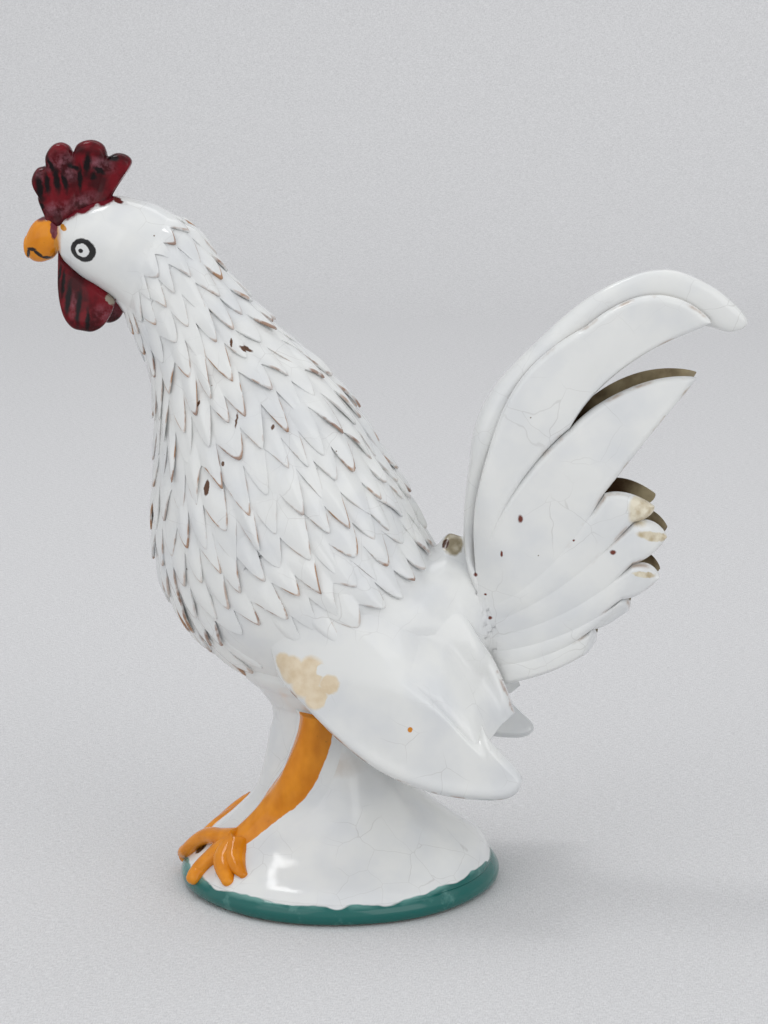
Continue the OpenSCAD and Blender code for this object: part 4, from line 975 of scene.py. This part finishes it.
# The slip that smooths the upper edge into the flank stops towards the tip, where the edge is free and round.
slip = SLIP_REACH * (1 - ease((stations - 2.2) / 2.8))[:, None]
across = (1 - np.cos(np.linspace(0, np.pi, 90))) / 2
flat = mix((top_edge + lean * slip)[:, None], low_edge[:, None], across[None, :, None])
from_top, from_low = across[None, :] * (tall + slip) - slip, (1 - across[None, :]) * (tall + slip)
plane = wing_seat(flat[..., 0])
free = ease((stations - 4.3) / 1.2)[:, None]
round_low = rounded(from_low, np.minimum(WING_LOW_RIM, tall * 0.45))
round_top = rounded(from_top, np.minimum(WING_TOP_RIM, tall * 0.45))
# The lower rim is a rolled edge, a little thicker than the sheet behind it.
rim = 0.8 * np.exp(-((from_low - 5.0) / 3.0) ** 2) * ease((stations - 1.5) / 1.5)[:, None]
raised = plane + rows[:, 4:5] * round_low * mix(1.0, round_top, free) + rim
melt = ease((from_top + slip + 0.01) / (slip + 9.0)) * ease((stations[:, None] + 0.6) / 1.5)
outer = mix(mix(flank_at(flat[..., 0], flat[..., 1]) - 1.0, raised, melt), raised, free)
# Along the free part of the lower rim the inner face swells inwards, so that the rim is a roll there too.
inner_side = np.minimum(plane, outer - 0.4 * (1 - free)) - 2.2 * free * np.exp(-((from_low - 3.5) / 2.5) ** 2)
wing = uneven(sheet(flat, outer, inner_side), 1.0)
rim_mark = outside_only(np.exp(-((from_low - 1.2) / 0.8) ** 2))
# The right wing was luted on a little lower towards its tip, and is narrower there.
tip_part = np.clip((wing[..., 0] + WING_X) / WING_L, 0, 1) ** 2
droop = tip_part * mix(DROOP_BELOW, DROOP_ABOVE, np.clip((wing[..., 2] - 52) / 22, 0, 1))
place_pair("wing", moved(wing, z=-droop), wing, wing_glaze, "white_glaze", {"edge": [rim_mark]})

# Saddle lobes
# A lobe on each side hides the joint of the tail. It is smoothed into the flank in front and ends in a free,
# rounded tip over the lowest tail feathers.

LOBE_L, LOBE_H, LOBE_T, LOBE_RIM, SEAT = 38.0, 55.0, 6.0, 3.6, 0.7
# How far the slip in front of a lobe is smoothed over the flank, and how far the wing's face lies from its
# seat where that slip meets it.
LOBE_SLIP, WING_FACE = 34.0, 4.5
TAIL_IN, TAIL_T, TAIL_HALF = 13.0, 5.0, 15.0
TAIL_X = BODY_L - BREAST_X - TAIL_IN
lobe_shares = np.array([
    [0.10, 1.10, -0.18, 0.92, 0.30], [0.28, 0.98, 0.00, 0.74, 0.40], [0.46, 0.85, 0.16, 0.56, 0.85],
    [0.64, 0.64, 0.34, 0.36, 1.00], [0.80, 0.42, 0.56, 0.18, 1.00], [0.93, 0.20, 0.74, 0.06, 0.90],
    [0.985, 0.10, 0.88, 0.035, 0.70],
])
lobe_x = TAIL_X + LOBE_L / 2 + TAIL_T - LOBE_L
rows = through(in_place(lobe_shares, (LOBE_L, LOBE_H, LOBE_T), (lobe_x, BELLY_Z)),
               np.linspace(0, len(lobe_shares) - 1, 60))
across = (1 - np.cos(np.linspace(0, np.pi, 36))) / 2
along = np.linspace(0, 1, 60)[:, None]
free = ease((along - 0.76) / 0.22)
back, fore = rows[:, 0:2], rows[:, 2:4]
lean = fore - back
tall = np.linalg.norm(lean, axis=1)[:, None]
lean = lean / tall
# In front the slip is smoothed over the flank. The tip is free and round on every side.
fore = fore + lean * LOBE_SLIP * (1 - free)
tall = tall + LOBE_SLIP * (1 - free)
flat = mix(back[:, None], fore[:, None], across[None, :, None])
from_back, from_front = across[None, :] * tall, (1 - across[None, :]) * tall
under = np.maximum(flank_at(flat[..., 0], flat[..., 1]), TAIL_HALF)
lift = (TAIL_T + SEAT) * ease((flat[..., 0] - TAIL_X + 3.0) / 13.0)
seat = under + SEAT + lift
round_back = rounded(from_back, LOBE_RIM)
round_front = rounded(from_front, np.minimum(LOBE_RIM, tall * 0.5))
round_tip = np.sqrt(1 - np.clip((along - 0.93) / 0.07, 0, 1) ** 2)
raised = seat + rows[:, 4:5] * round_back * mix(1.0, round_front, free) * mix(0.15, 1.0, round_tip)
melt = ease((from_front / tall - 0.38) / 0.57) * ease((along - 0.04) / 0.8)
# Its front and top edges go down to the body itself, and not to the bank of slip beyond the body's outline.
bank = mix(half_width(flat[..., 0], flat[..., 1]), under, ease(from_front / (tall * 0.5)) * ease(along / 0.6))
outer = mix(mix(bank - 0.3, raised, melt), raised, free)
# The slip carries the level of the wing's face on over its upper edge, and falls from there to the lobe's
# rim. 0.83 is the cosine of that edge's slope, which turns a height over it into a distance.
past_wing = 0.83 * (flat[..., 1] - np.interp(flat[..., 0], wing_rows[:, 0], wing_rows[:, 1]))
wing_level = wing_seat(flat[..., 0]) + WING_FACE
carried = (1 - ease((past_wing + 5.0) / 19.0)) * ease((from_back - 1.0) / 17.0) * mix(1.0, round_front, free)
outer = outer + np.maximum(wing_level - outer, 0) * carried
lobe = uneven(sheet(flat, outer, np.minimum(seat, outer - 0.4 * (1 - free)) - 1.5 * (1 - free)), 2.0)
rim_mark = outside_only(np.exp(-((from_back - 0.6) / 0.4) ** 2) * ease(along / 0.3))
place_pair("saddle_lobe", lobe, lobe, wing_glaze, "white_glaze", {"edge": [rim_mark]})

# Tail feathers
# The tail is two sheets of clay, one for each side, cut into seven feathers with free tips. They stand apart
# and leave a hollow between them, which no glaze reached: it is bare clay, smoked brown in the kiln, with
# shade painted where it is deep.

TAIL_L, TAIL_H, SICKLE_T = 118.0, 182.0, 9.0
TAIL_Z = BELLY_Z + BODY_H * 0.06
# The eight joints and edges between the feathers from the top down, each a curve pulled by four points; the
# tips of the seven feathers, with the bow of both edges and the share of the hollow behind them; and sections
# along the leading edge: its upper and lower edge and its share of the hollow's width.
joint_shares = np.array([
    [[0.05, 0.25], [0.01, 0.56], [0.16, 0.77], [0.43, 0.865]],
    [[0.05, 0.22], [0.08, 0.37], [0.22, 0.55], [0.38, 0.63]],
    [[0.04, 0.165], [0.20, 0.22], [0.39, 0.34], [0.51, 0.48]],
    [[0.04, 0.14], [0.26, 0.20], [0.43, 0.30], [0.62, 0.41]],
    [[0.04, 0.11], [0.29, 0.155], [0.46, 0.23], [0.61, 0.31]],
    [[0.04, 0.08], [0.29, 0.11], [0.43, 0.165], [0.57, 0.225]],
    [[0.04, 0.05], [0.26, 0.07], [0.37, 0.11], [0.47, 0.155]],
    [[0.04, 0.00], [0.20, 0.015], [0.32, 0.045], [0.44, 0.09]],
])
tip_shares = np.array([
    [0.87, 0.875, 0.12, 0.13, 1.00], [0.83, 0.745, 0.12, 0.06, 0.90], [0.69, 0.445, 0.06, 0.02, 0.95],
    [0.735, 0.37, 0.06, -0.02, 0.60], [0.705, 0.27, 0.06, -0.05, 0.45], [0.60, 0.19, 0.04, -0.05, 0.35],
    [0.49, 0.12, 0.04, -0.06, 0.35],
])
sickle_shares = np.array([
    [0.00, 0.35, 0.05, 0.34, 0.55], [0.01, 0.49, 0.09, 0.46, 0.85], [0.03, 0.61, 0.125, 0.56, 1.00],
    [0.10, 0.70, 0.19, 0.65, 1.00], [0.21, 0.785, 0.29, 0.735, 1.00], [0.34, 0.875, 0.40, 0.80, 1.00],
    [0.46, 0.935, 0.52, 0.85, 1.00], [0.60, 0.975, 0.64, 0.87, 1.00], [0.74, 0.985, 0.76, 0.865, 1.00],
    [0.87, 0.955, 0.86, 0.86, 0.95], [0.95, 0.915, 0.93, 0.85, 0.80], [0.99, 0.885, 0.975, 0.855, 0.60],
    [1.00, 0.87, 0.99, 0.862, 0.35],
])
tail_names = ["sickle_feather", "upper_tail_feather", "second_tail_feather", "third_tail_feather",
              "fourth_tail_feather", "fifth_tail_feather", "lowest_tail_feather"]


def in_tail(shares):
    """Shares of the tail's length and height as points of the XZ plane."""
    return shares * [TAIL_L, TAIL_H] + [TAIL_X, TAIL_Z]


joints, tips = in_tail(joint_shares), in_tail(tip_shares[:, :2])
tail_reach = math.hypot(TAIL_L, TAIL_H * sickle_shares[-1, 1])


def hollow_at(x, z):
    """Half of the hollow inside the tail, narrowing from the root to the tip of the sickle."""
    f = (np.hypot(x - TAIL_X, z - TAIL_Z) / tail_reach - 0.4) / 0.6
    return mix(TAIL_HALF, SICKLE_T / 2, ease(f))


def pulled(p, f):
    """Points at shares f of a curve from the first to the last of four points p: a cubic that the two between
    them pull out of the straight."""
    f = f[:, None]
    g = 1 - f
    return g ** 3 * p[0] + 3 * g * g * f * p[1] + 3 * g * f * f * p[2] + f ** 3 * p[3]


NOTCH, ROOT_LAP = 0.6, 2.0
TRIM_RIGHT, TRIM_LEFT = 2.8, 5.2


def feather_edges(k, s):
    """Upper and lower edge of tail feather k at shares s of its length: along the joints up to the notch,
    then free. Past the notch the middle runs straight to the tip with a bow, and the half width dies away as
    (1 - f^1.7)^0.8, which gives a rounded point."""
    root = np.minimum(s, NOTCH) / NOTCH
    up, low = pulled(joints[k], root), pulled(joints[k + 1], root)
    f = np.clip((s - NOTCH) / (1 - NOTCH), 0, 1)[:, None]
    bow = 4 * f * (1 - f)
    sides = []
    for j, bulge in ((k, tip_shares[k, 2]), (k + 1, tip_shares[k, 3])):
        ahead = tips[k] - joints[j, 3]
        sides.append(bow * bulge * np.array([-ahead[1], ahead[0]]))
    middle_0, half_0 = (joints[k, 3] + joints[k + 1, 3]) / 2, (joints[k, 3] - joints[k + 1, 3]) / 2
    middle = mix(middle_0, tips[k], f) + (sides[0] + sides[1]) / 2
    half = half_0 * (1 - f ** 1.7) ** 0.8 + (sides[0] - sides[1]) / 2
    free = f > 0
    return np.where(free, middle + half, up), np.where(free, middle - half, low)


def furrow(j, s):
    """How deep joint j shows at shares s of a feather's length: all of it at the outer edges of the tail and
    past the notches, and next to nothing near the root, where slip fills the joints. The joint under the
    sickle feather stays open further down."""
    if j in (0, len(tail_names)):
        return np.ones((len(s), 1))
    begin, span = (0.10, 0.30) if j == 1 else (0.49, 0.12)
    return mix(0.05, 1.0, ease((s - begin) / span))[:, None]


def tail_colour(material, at):
    """White glaze outside with tan lines along the free edges, bare smoked clay inside with painted shade
    where the hollow is deep, and broken tips.
    """
    line = worn_edge(material, at, 9, 0.50, 0.64, full=0.8, Detail=4.0)
    broken = most(material,
                  spot(material, at, (131.0, -20, 172.0), (6.4, 14, 9.0), turn=24, rag=0.8, size=4.0),
                  spot(material, at, (135.5, -20, 158.6), (8.0, 14, 2.2), turn=14, rag=0.6, size=4.0),
                  spot(material, at, (131.5, -20, 142.0), (5.5, 14, 1.4), turn=16, rag=0.4))
    chips = coats(material, "#ddd5c0", (patches(material, at, 5, 0.40, 0.62, Detail=5.0), "#b9a98a"))
    dots = dabs(material, at, -20, 14, [
        (59.9, 140.6, 0.9, 0.9, 0), (64.2, 132.4, 0.6, 0.5, 0), (66.4, 122.3, 0.8, 0.8, 0),
        (118.0, 152.6, 1.2, 1.0, 0), (101.5, 157.6, 0.5, 0.5, 0), (71.2, 151.1, 0.5, 1.3, 0),
        (79.0, 166.5, 1.0, 1.6, 0),
    ], rag=0.2, size=1.5, soft=0.3)
    # Painted shade in two patches where the hollow between the sheets is deepest.
    deep = most(
        material,
        spot(material, at, (103.0, 10, 200.0), (13.0, 20, 11.0), turn=-35, rag=1.0, size=5.0, soft=0.6),
        spot(material, at, (116.0, 10, 174.0), (6.5, 20, 9.0), turn=-20, rag=1.0, size=5.0, soft=0.5))
    smoke = patches(material, at, 14, 0.35, 0.65, Detail=4.0)
    clay = coats(material, "#b5a888", (smoke, "#5b4a36"), (deep, "#3d2c1f"))
    inner = add(material, "Attribute", {}, out="Fac", attribute_name="inner")
    return coats(material, white_ground(material, at), (line, "#ab9684"), (broken, chips), (dots, "#6b3124"),
                 (inner, clay))


tail_glaze = fired("white_tin_glaze_on_tail", tail_colour)
s = np.concatenate([np.linspace(0, 0.9, 70), 1 - 0.1 * (1 - np.linspace(0, 1, 15)[1:]) ** 1.6])
across = (1 - np.cos(np.linspace(0, np.pi, 40))) / 2
for k, name in enumerate(tail_names):
    up, low = feather_edges(k, s)
    # Near the root neighbours lap, so that their joint is no more than a shallow furrow. It deepens towards
    # the notch.
    lap = (ROOT_LAP * (1 - ease(s / NOTCH)))[:, None]
    way = (up - low) / np.maximum(np.linalg.norm(up - low, axis=1, keepdims=True), 1e-6)
    up, low = up + lap * way * (k > 0), low - lap * way * (k < len(tail_names) - 1)
    flat = mix(up[:, None, :], low[:, None, :], across[None, :, None])
    tall = np.linalg.norm(up - low, axis=1)[:, None]
    round_edge = np.minimum(mix(3.4, 3.0, ease(s))[:, None], np.maximum(tall * 0.5, 0.01))
    from_up, from_low = across[None, :] * tall, (1 - across[None, :]) * tall
    body_side = flank_at(flat[..., 0], flat[..., 1])
    hollow = hollow_at(flat[..., 0], flat[..., 1]) * mix(1, tip_shares[k, 4], ease((s - 0.4) / 0.6))[:, None]
    # The smooth greatest of the two: sqrt((a - b)^2 + 4^2) rounds the corner between them.
    on_body, clear = body_side + SEAT, hollow + 0.3
    seat = (on_body + clear + np.hypot(on_body - clear, 4.0)) / 2
    thin = TAIL_T * (1 - 0.45 * ease(4 * s - 3))[:, None]
    round_up = 1 - furrow(k, s) * (1 - rounded(from_up, round_edge))
    round_low = 1 - furrow(k + 1, s) * (1 - rounded(from_low, round_edge))
    thick = thin * (0.85 + 0.15 * np.sin(np.pi * across[None, :])) * round_up * round_low
    outer = seat + thick
    # The roots melt into the rump.
    melt = ease((s[:, None] - 0.01) / 0.22)
    outer = mix(np.maximum(body_side - 0.8, hollow - 0.3), outer, melt)
    blade = uneven(sheet(flat, outer, np.minimum(seat, outer)), 3.0)
    rim_mark = np.exp(-((np.minimum(from_up, from_low) - 0.8) / 0.6) ** 2) * ease((s - 0.35) / 0.3)[:, None]
    rim_mark = outside_only(rim_mark)
    in_mark = np.concatenate([np.zeros((len(s), across.size)), np.ones((len(s), across.size - 2))], 1)
    in_mark[:, 0] = in_mark[:, across.size - 1] = 0.5
    in_mark = in_mark * ease((s - 0.25) / 0.1)[:, None]
    # The upper tail feather is trimmed along its free upper edge, the left one more than the right.
    trim = 4 * np.clip((s - NOTCH) / (1 - NOTCH), 0, 1) * np.clip((1 - s) / (1 - NOTCH), 0, 1) * (k == 1)
    trim = trim[:, None] * np.concatenate([1 - across, across[1:-1]])[None, :]
    place_pair(name, moved(blade, z=-TRIM_RIGHT * trim), moved(blade, z=-TRIM_LEFT * trim), tail_glaze,
               "white_glaze", {"edge": [rim_mark], "inner": [in_mark]})

# Top sickle feather
# A thick roll of clay that closes the leading edge of the hollow tail between the two sheets and ends in the
# long curved blade at the top. Below its root a fillet of slip runs on down to the body.

foot_shares = np.array([[0.035, 0.235, 0.085, 0.225, 0.96], [0.01, 0.29, 0.06, 0.28, 0.92]])
u = np.linspace(0, len(sickle_shares) + len(foot_shares) - 1, 150)
r = through(np.vstack([foot_shares, sickle_shares]), u)
up, low = in_tail(r[:, 0:2]), in_tail(r[:, 2:4])
a = np.linspace(0, 2 * np.pi, 48, endpoint=False)
# Section: a rounded wedge, |cos|^0.8 from the upper to the lower edge and |sin|^0.7 across.
q = (1 - np.sign(np.cos(a)) * np.abs(np.cos(a)) ** 0.8) / 2
wide = np.sign(np.sin(a)) * np.abs(np.sin(a)) ** 0.7
flat = mix(up[:, None, :], low[:, None, :], q[None, :, None])
y = wide[None, :] * r[:, 4:5] * (hollow_at(flat[..., 0], flat[..., 1]) + 0.2)
sickle = uneven(np.stack([flat[..., 0], y, flat[..., 1]], -1), 3.0)
zeros = [np.zeros(sickle.shape[:2])]
place(surface("top_sickle_feather_glazed", [sickle], marks={"edge": zeros, "inner": zeros}), tail_glaze,
      "white_glaze", "top_sickle_feather")

# Legs
# Flattened rolls of clay laid down the sides of the base from the belly to the ankles and smoothed in along
# both edges, painted orange over most of their width.

# The mound's rows close together, which give its reach at any height.
levels = through(mound_rows, np.linspace(0, len(mound_rows) - 1, 400))


def mound_share(x, y, z):
    """How far out a point lies from the axis of the mound, 1 being on its surface."""
    h = (z - RING_H) / (BELLY_Z - RING_H)
    fore, aft, side = [mix(n, MOUND_R, np.interp(h, levels[:, 0], levels[:, c]))
                       for n, c in ((MOUND_FORE, 1), (MOUND_AFT, 2), (MOUND_SIDE, 3))]
    return np.hypot(x / np.where(x < 0, fore, aft), y / side)


def base_height(x, y):
    """Height of the mound, or of the ring round it, below each point: the height at which mound_share is 1,
    found by halving."""
    low, high = np.full_like(x, RING_H), np.full_like(x, BELLY_Z)
    for _ in range(18):
        middle = (low + high) / 2
        out = mound_share(x, y, middle) > 1
        low, high = np.where(out, low, middle), np.where(out, middle, high)
    r = np.hypot(x, y)
    ring = np.interp(r, ring_profile[7:13, 0][::-1], ring_profile[7:13, 1][::-1])
    return np.where(r > MOUND_R - 0.5, ring, low)


LEG_W, ANKLE_W, LEG_TOP_X, LEG_Y, ANKLE_IN, ANKLE_ANGLE = 14.5, 10.0, 8.0, 28.0, 16.5, 38.0
# Both legs turn in towards the front of the base over their lower half, about the upright axis. LEG_STAND is
# how high they stand there, as a share of their half width.
LEG_TURN, LEG_STAND = math.radians(8.0), 0.62
ankle_x = (BASE_R - ANKLE_IN) * math.cos(math.radians(ANKLE_ANGLE))
ankle_y = (BASE_R - ANKLE_IN) * math.sin(math.radians(ANKLE_ANGLE))
ankle_z = float(base_height(np.array([-ankle_x]), np.array([ankle_y]))[0]) + ANKLE_W / 4
leg_pulls = np.array([
    [-LEG_TOP_X, LEG_Y, BELLY_Z + LEG_W / 4],
    [-mix(LEG_TOP_X, ankle_x, 0.085), mix(LEG_Y, ankle_y, 0.085), mix(RING_H, BELLY_Z, 0.72)],
    [-mix(LEG_TOP_X, ankle_x, 0.5), mix(LEG_Y, ankle_y, 0.5), mix(RING_H, BELLY_Z, 0.48)],
    [-ankle_x, ankle_y, ankle_z],
])


def leg_colour(material, at):
    """Orange glaze over the roll, with a ragged rim of white glaze where it is smoothed into the base. The
    brush missed the lower end of the right leg."""
    painted = add(material, "Attribute", {}, out="Fac", attribute_name="painted")
    ragged = add(material, "TexNoise", {"Vector": at, "Scale": 1 / 5, "Detail": 3.0})
    ragged = add(material, "MapRange", {"Value": ragged, "To Min": -0.22, "To Max": 0.22})
    cover = add(material, "Math", {0: painted, 1: ragged}, operation="ADD")
    cover = add(material, "MapRange", {"Value": cover, "From Min": 0.46, "From Max": 0.54})
    missed = spot(material, at, (-62.0, 22, 12.0), (13.0, 20, 13.0), rag=0.4)
    cover = add(material, "Math", {0: cover, 1: missed}, operation="SUBTRACT", use_clamp=True)
    return coats(material, white_ground(material, at), (cover, orange_ground(material, at)))


leg_glaze = fired("orange_glaze_on_legs", leg_colour, shine=0.3)
f = np.linspace(0, 1, 80)
middle = pulled(leg_pulls, f)
ahead = np.gradient(middle, axis=0)
fore = np.cross([0, 1, 0], ahead)
fore = fore / np.linalg.norm(fore, axis=1, keepdims=True)
leg_shares = np.array([[0.90], [0.96], [1.02], [1.05], [1.05], [1.06], [1.06]])
half = through(leg_shares, f * 6)[:, 0] * LEG_W / 2
xi = np.linspace(-2.3, 1.7, 50)
# Height over the base: a bell 1 / (1 + |x / spread|^3.2) - 0.115, as high as the roll stands off the base. It
# is drawn out to the rear, and ends a little inside the base.
spread = np.where(xi < 0, 1.15, 0.95)
bell = 1 / (1 + np.abs(xi / spread) ** 3.2) - 0.115
flat = middle[:, None, :] + xi[None, :, None] * half[:, None, None] * fore[:, None, :]
turned = LEG_TURN * ease((f - 0.45) / 0.3)[:, None]
flat = np.stack([flat[..., 0] * np.cos(turned) - flat[..., 1] * np.sin(turned),
                 flat[..., 0] * np.sin(turned) + flat[..., 1] * np.cos(turned), flat[..., 2]], -1)
share = mound_share(*np.moveaxis(flat, -1, 0))
on_base = flat / np.stack([share, share, np.ones_like(share)], -1)
out = on_base * [1, 1, 0]
out = out / np.linalg.norm(out, axis=-1, keepdims=True)
stand = np.linalg.norm(middle[:, :2], axis=1) * (1 - 1 / mound_share(*middle.T))
stand = np.maximum(stand, 0) * (1 - ease((f - 0.4) / 0.3)) + LEG_STAND * half
ridge = on_base + out * (stand[:, None] * bell[None, :])[..., None]
floor = on_base - out * 2.5
leg = np.concatenate([ridge, floor[:, ::-1]], 1)
painted = 1.15 - np.abs(xi / np.where(xi < 0, 1.55, 1.3)) ** 4
painted = np.concatenate([np.broadcast_to(painted, ridge.shape[:2]), np.zeros(floor.shape[:2])], 1)
place_pair("leg", leg, leg, leg_glaze, "orange_glaze", {"painted": [painted]})

# Toes
# Four small rolls of clay on each foot, pressed on at the ankle and bent over the flare of the base. The
# inner front toe arches clear of the base and leaves a gap under it, with shadow painted on the base there.

TOE_D, TOE_POINTS, TOE_PRESS = 7.0, 40, 2.4
# Each toe: points it runs through, x and distance from the middle plane and height of its axis over the base,
# in mm, and its thickness there as a share of TOE_D.
toes = {
    "inner_toe": [(-42.0, 26.5, 0.4, 1.7), (-49.0, 21.5, 1.6, 1.45), (-55.0, 15.5, 3.0, 1.3),
                  (-61.0, 10.0, 3.4, 1.2), (-65.8, 5.5, 2.2, 1.15), (-68.0, 1.5, 0.6, 1.0)],
    "middle_toe": [(-41.5, 28.0, 0.4, 1.75), (-48.0, 28.5, 1.0, 1.5), (-52.5, 29.5, 1.2, 1.3),
                   (-57.0, 31.0, 1.2, 1.2), (-59.5, 34.5, 0.8, 1.0)],
    "outer_toe": [(-42.5, 28.0, 0.4, 1.7), (-45.0, 34.5, 0.8, 1.65), (-44.5, 41.0, 0.8, 1.35),
                  (-42.8, 47.5, 0.5, 0.8)],
    "rear_toe": [(-41.0, 29.5, 0.3, 1.6), (-41.0, 36.5, 0.7, 1.45), (-39.2, 42.5, 0.7, 1.1),
                 (-36.2, 47.5, 0.4, 0.6)],
}
toe_glaze = fired("orange_glaze_on_toes", orange_ground, shine=0.3)
for name, marks_of in toes.items():
    r = through(np.array(marks_of), np.linspace(0, len(marks_of) - 1, TOE_POINTS))
    x, y, thick = -np.abs(r[:, 0]), r[:, 1], r[:, 3] * TOE_D / 2
    line = np.stack([x, y, base_height(x, y) + r[:, 2]], -1)
    ahead = np.gradient(line, axis=0)
    ahead = ahead / np.linalg.norm(ahead, axis=1, keepdims=True)
    side_way = np.cross(ahead, [0, 0, 1])
    side_way = side_way / np.linalg.norm(side_way, axis=1, keepdims=True)
    up_way = np.cross(side_way, ahead)
    a = np.linspace(0, 2 * np.pi, 28, endpoint=False)
    ring = line[:, None, :] + thick[:, None, None] * (np.cos(a)[None, :, None] * side_way[:, None, :]
                                                    + 0.8 * np.sin(a)[None, :, None] * up_way[:, None, :])
    toe = np.concatenate([ring, closing(ring[-1], ahead[-1] * thick[-1] * 0.8, 6)])
    # The right foot is pressed flatter on the base: its inner toe doesn't arch.
    sunk = (-TOE_PRESS - r[:, 2]) * (name == "inner_toe")
    sunk = np.append(sunk, np.full(len(toe) - TOE_POINTS, sunk[-1]))[:, None]
    place_pair(name, moved(toe, z=sunk), toe, toe_glaze, "orange_glaze")

# Photographer's table
# The figurine stands on pale grey linen that sweeps up behind it, under soft daylight lamps.


def linen(material, at):
    """Plain-weave linen in pale grey: threads about half a millimetre wide, with slubs."""
    warp = add(material, "VectorMath", {0: at, 1: (1.9, 0.4, 0.4)}, operation="MULTIPLY")
    weft = add(material, "VectorMath", {0: at, 1: (0.33, 1.8, 1.8)}, operation="MULTIPLY")
    warp, weft = [add(material, "TexNoise", {"Vector": way, "Scale": 1.0, "Detail": 2.0})
                  for way in (warp, weft)]
    cloth = add(material, "Math", {0: warp, 1: weft}, operation="ADD")
    cloth = add(material, "MapRange", {"Value": cloth, "From Min": 0.72, "From Max": 1.28})
    colour = coats(material, "#c6c6c7", (cloth, "#e0e0e1"))
    normal = add(material, "Bump", {"Height": cloth, "Strength": 0.35, "Distance": 0.6 * MM})
    return add(material, "BsdfPrincipled", {"Base Color": colour, "Roughness": 0.95, "Normal": normal})


# The cloth in metres: flat from FRONT to SWEEP_AT behind the figurine, then a quarter circle up to a wall.
FRONT, SWEEP_AT, SWEEP_R, CLOTH_HALF_W, CLOTH_H = -12.0, 1.5, 0.7, 12.0, 3.2
sweep = np.linspace(0, np.pi / 2, 24)
depth = np.concatenate([[FRONT, SWEEP_AT], SWEEP_AT + SWEEP_R * np.sin(sweep[1:]), [SWEEP_AT + SWEEP_R]])
height = np.concatenate([[0, 0], SWEEP_R * (1 - np.cos(sweep[1:])), [CLOTH_H]])
xs = np.linspace(-CLOTH_HALF_W, CLOTH_HALF_W, 3)
points = np.stack(np.broadcast_arrays(xs[None, :], depth[:, None], height[:, None]), -1)
i, j = np.meshgrid(np.arange(len(depth) - 1), np.arange(2), indexing="ij")
quads = np.stack([i * 3 + j, i * 3 + j + 1, (i + 1) * 3 + j + 1, (i + 1) * 3 + j], -1).reshape(-1, 4)
mesh = bpy.data.meshes.new("linen_sweep")
mesh.from_pydata(points.reshape(-1, 3).tolist(), [], quads.tolist())
mesh.shade_smooth()
cloth = bpy.data.objects.new("linen_sweep", mesh)
bpy.context.scene.collection.objects.link(cloth)
mesh.materials.append(new_material("pale_grey_linen", linen))


def softbox(name, at, size, power, aim=(0.02, 0, 0.15)):
    """A square diffused lamp, with its place and size in m and its power in W. It looks at the figurine, or
    at the point aim."""
    light = bpy.data.lights.new(name, "AREA")
    light.size, light.energy = size, power
    lamp = bpy.data.objects.new(name, light)
    lamp.location = at
    way = np.array(aim) - np.array(at)
    tilt, bearing = math.atan2(-way[2], math.hypot(way[0], way[1])), math.atan2(-way[0], way[1])
    lamp.rotation_euler = (math.pi / 2 - tilt, 0, bearing)
    bpy.context.scene.collection.objects.link(lamp)


softbox("window", (-0.55, 0.22, 1.50), 0.40, 3)
softbox("left_softbox", (-1.1, -1.5, 1.3), 1.8, 6)
softbox("right_softbox", (1.7, -1.5, 1.2), 2.0, 13)
softbox("backdrop_softbox", (0.1, 0.9, 1.6), 1.0, 4, aim=(0.1, 1.9, 0.1))
world = bpy.data.worlds.new("studio")
bpy.context.scene.world = world
world.use_nodes = True
daylight = world.node_tree.nodes["Background"]
daylight.inputs[0].default_value = paint("#e6e7e9")
daylight.inputs[1].default_value = 0.96

# Fitted to the photo, so that the foot ring, comb, beak and tips of the tail fall where it shows them.
camera_data = bpy.data.cameras.new("camera")
camera_data.sensor_fit, camera_data.sensor_height, camera_data.lens = "VERTICAL", 36.0, 119.633
camera = bpy.data.objects.new("camera", camera_data)
camera.location = (0.148690, -1.414693, 0.480957)
camera.rotation_euler = (math.radians(90 - 12.5876), 0, math.radians(5.2142))
bpy.context.scene.collection.objects.link(camera)
bpy.context.scene.camera = camera
bpy.context.scene.view_settings.view_transform = "Standard"
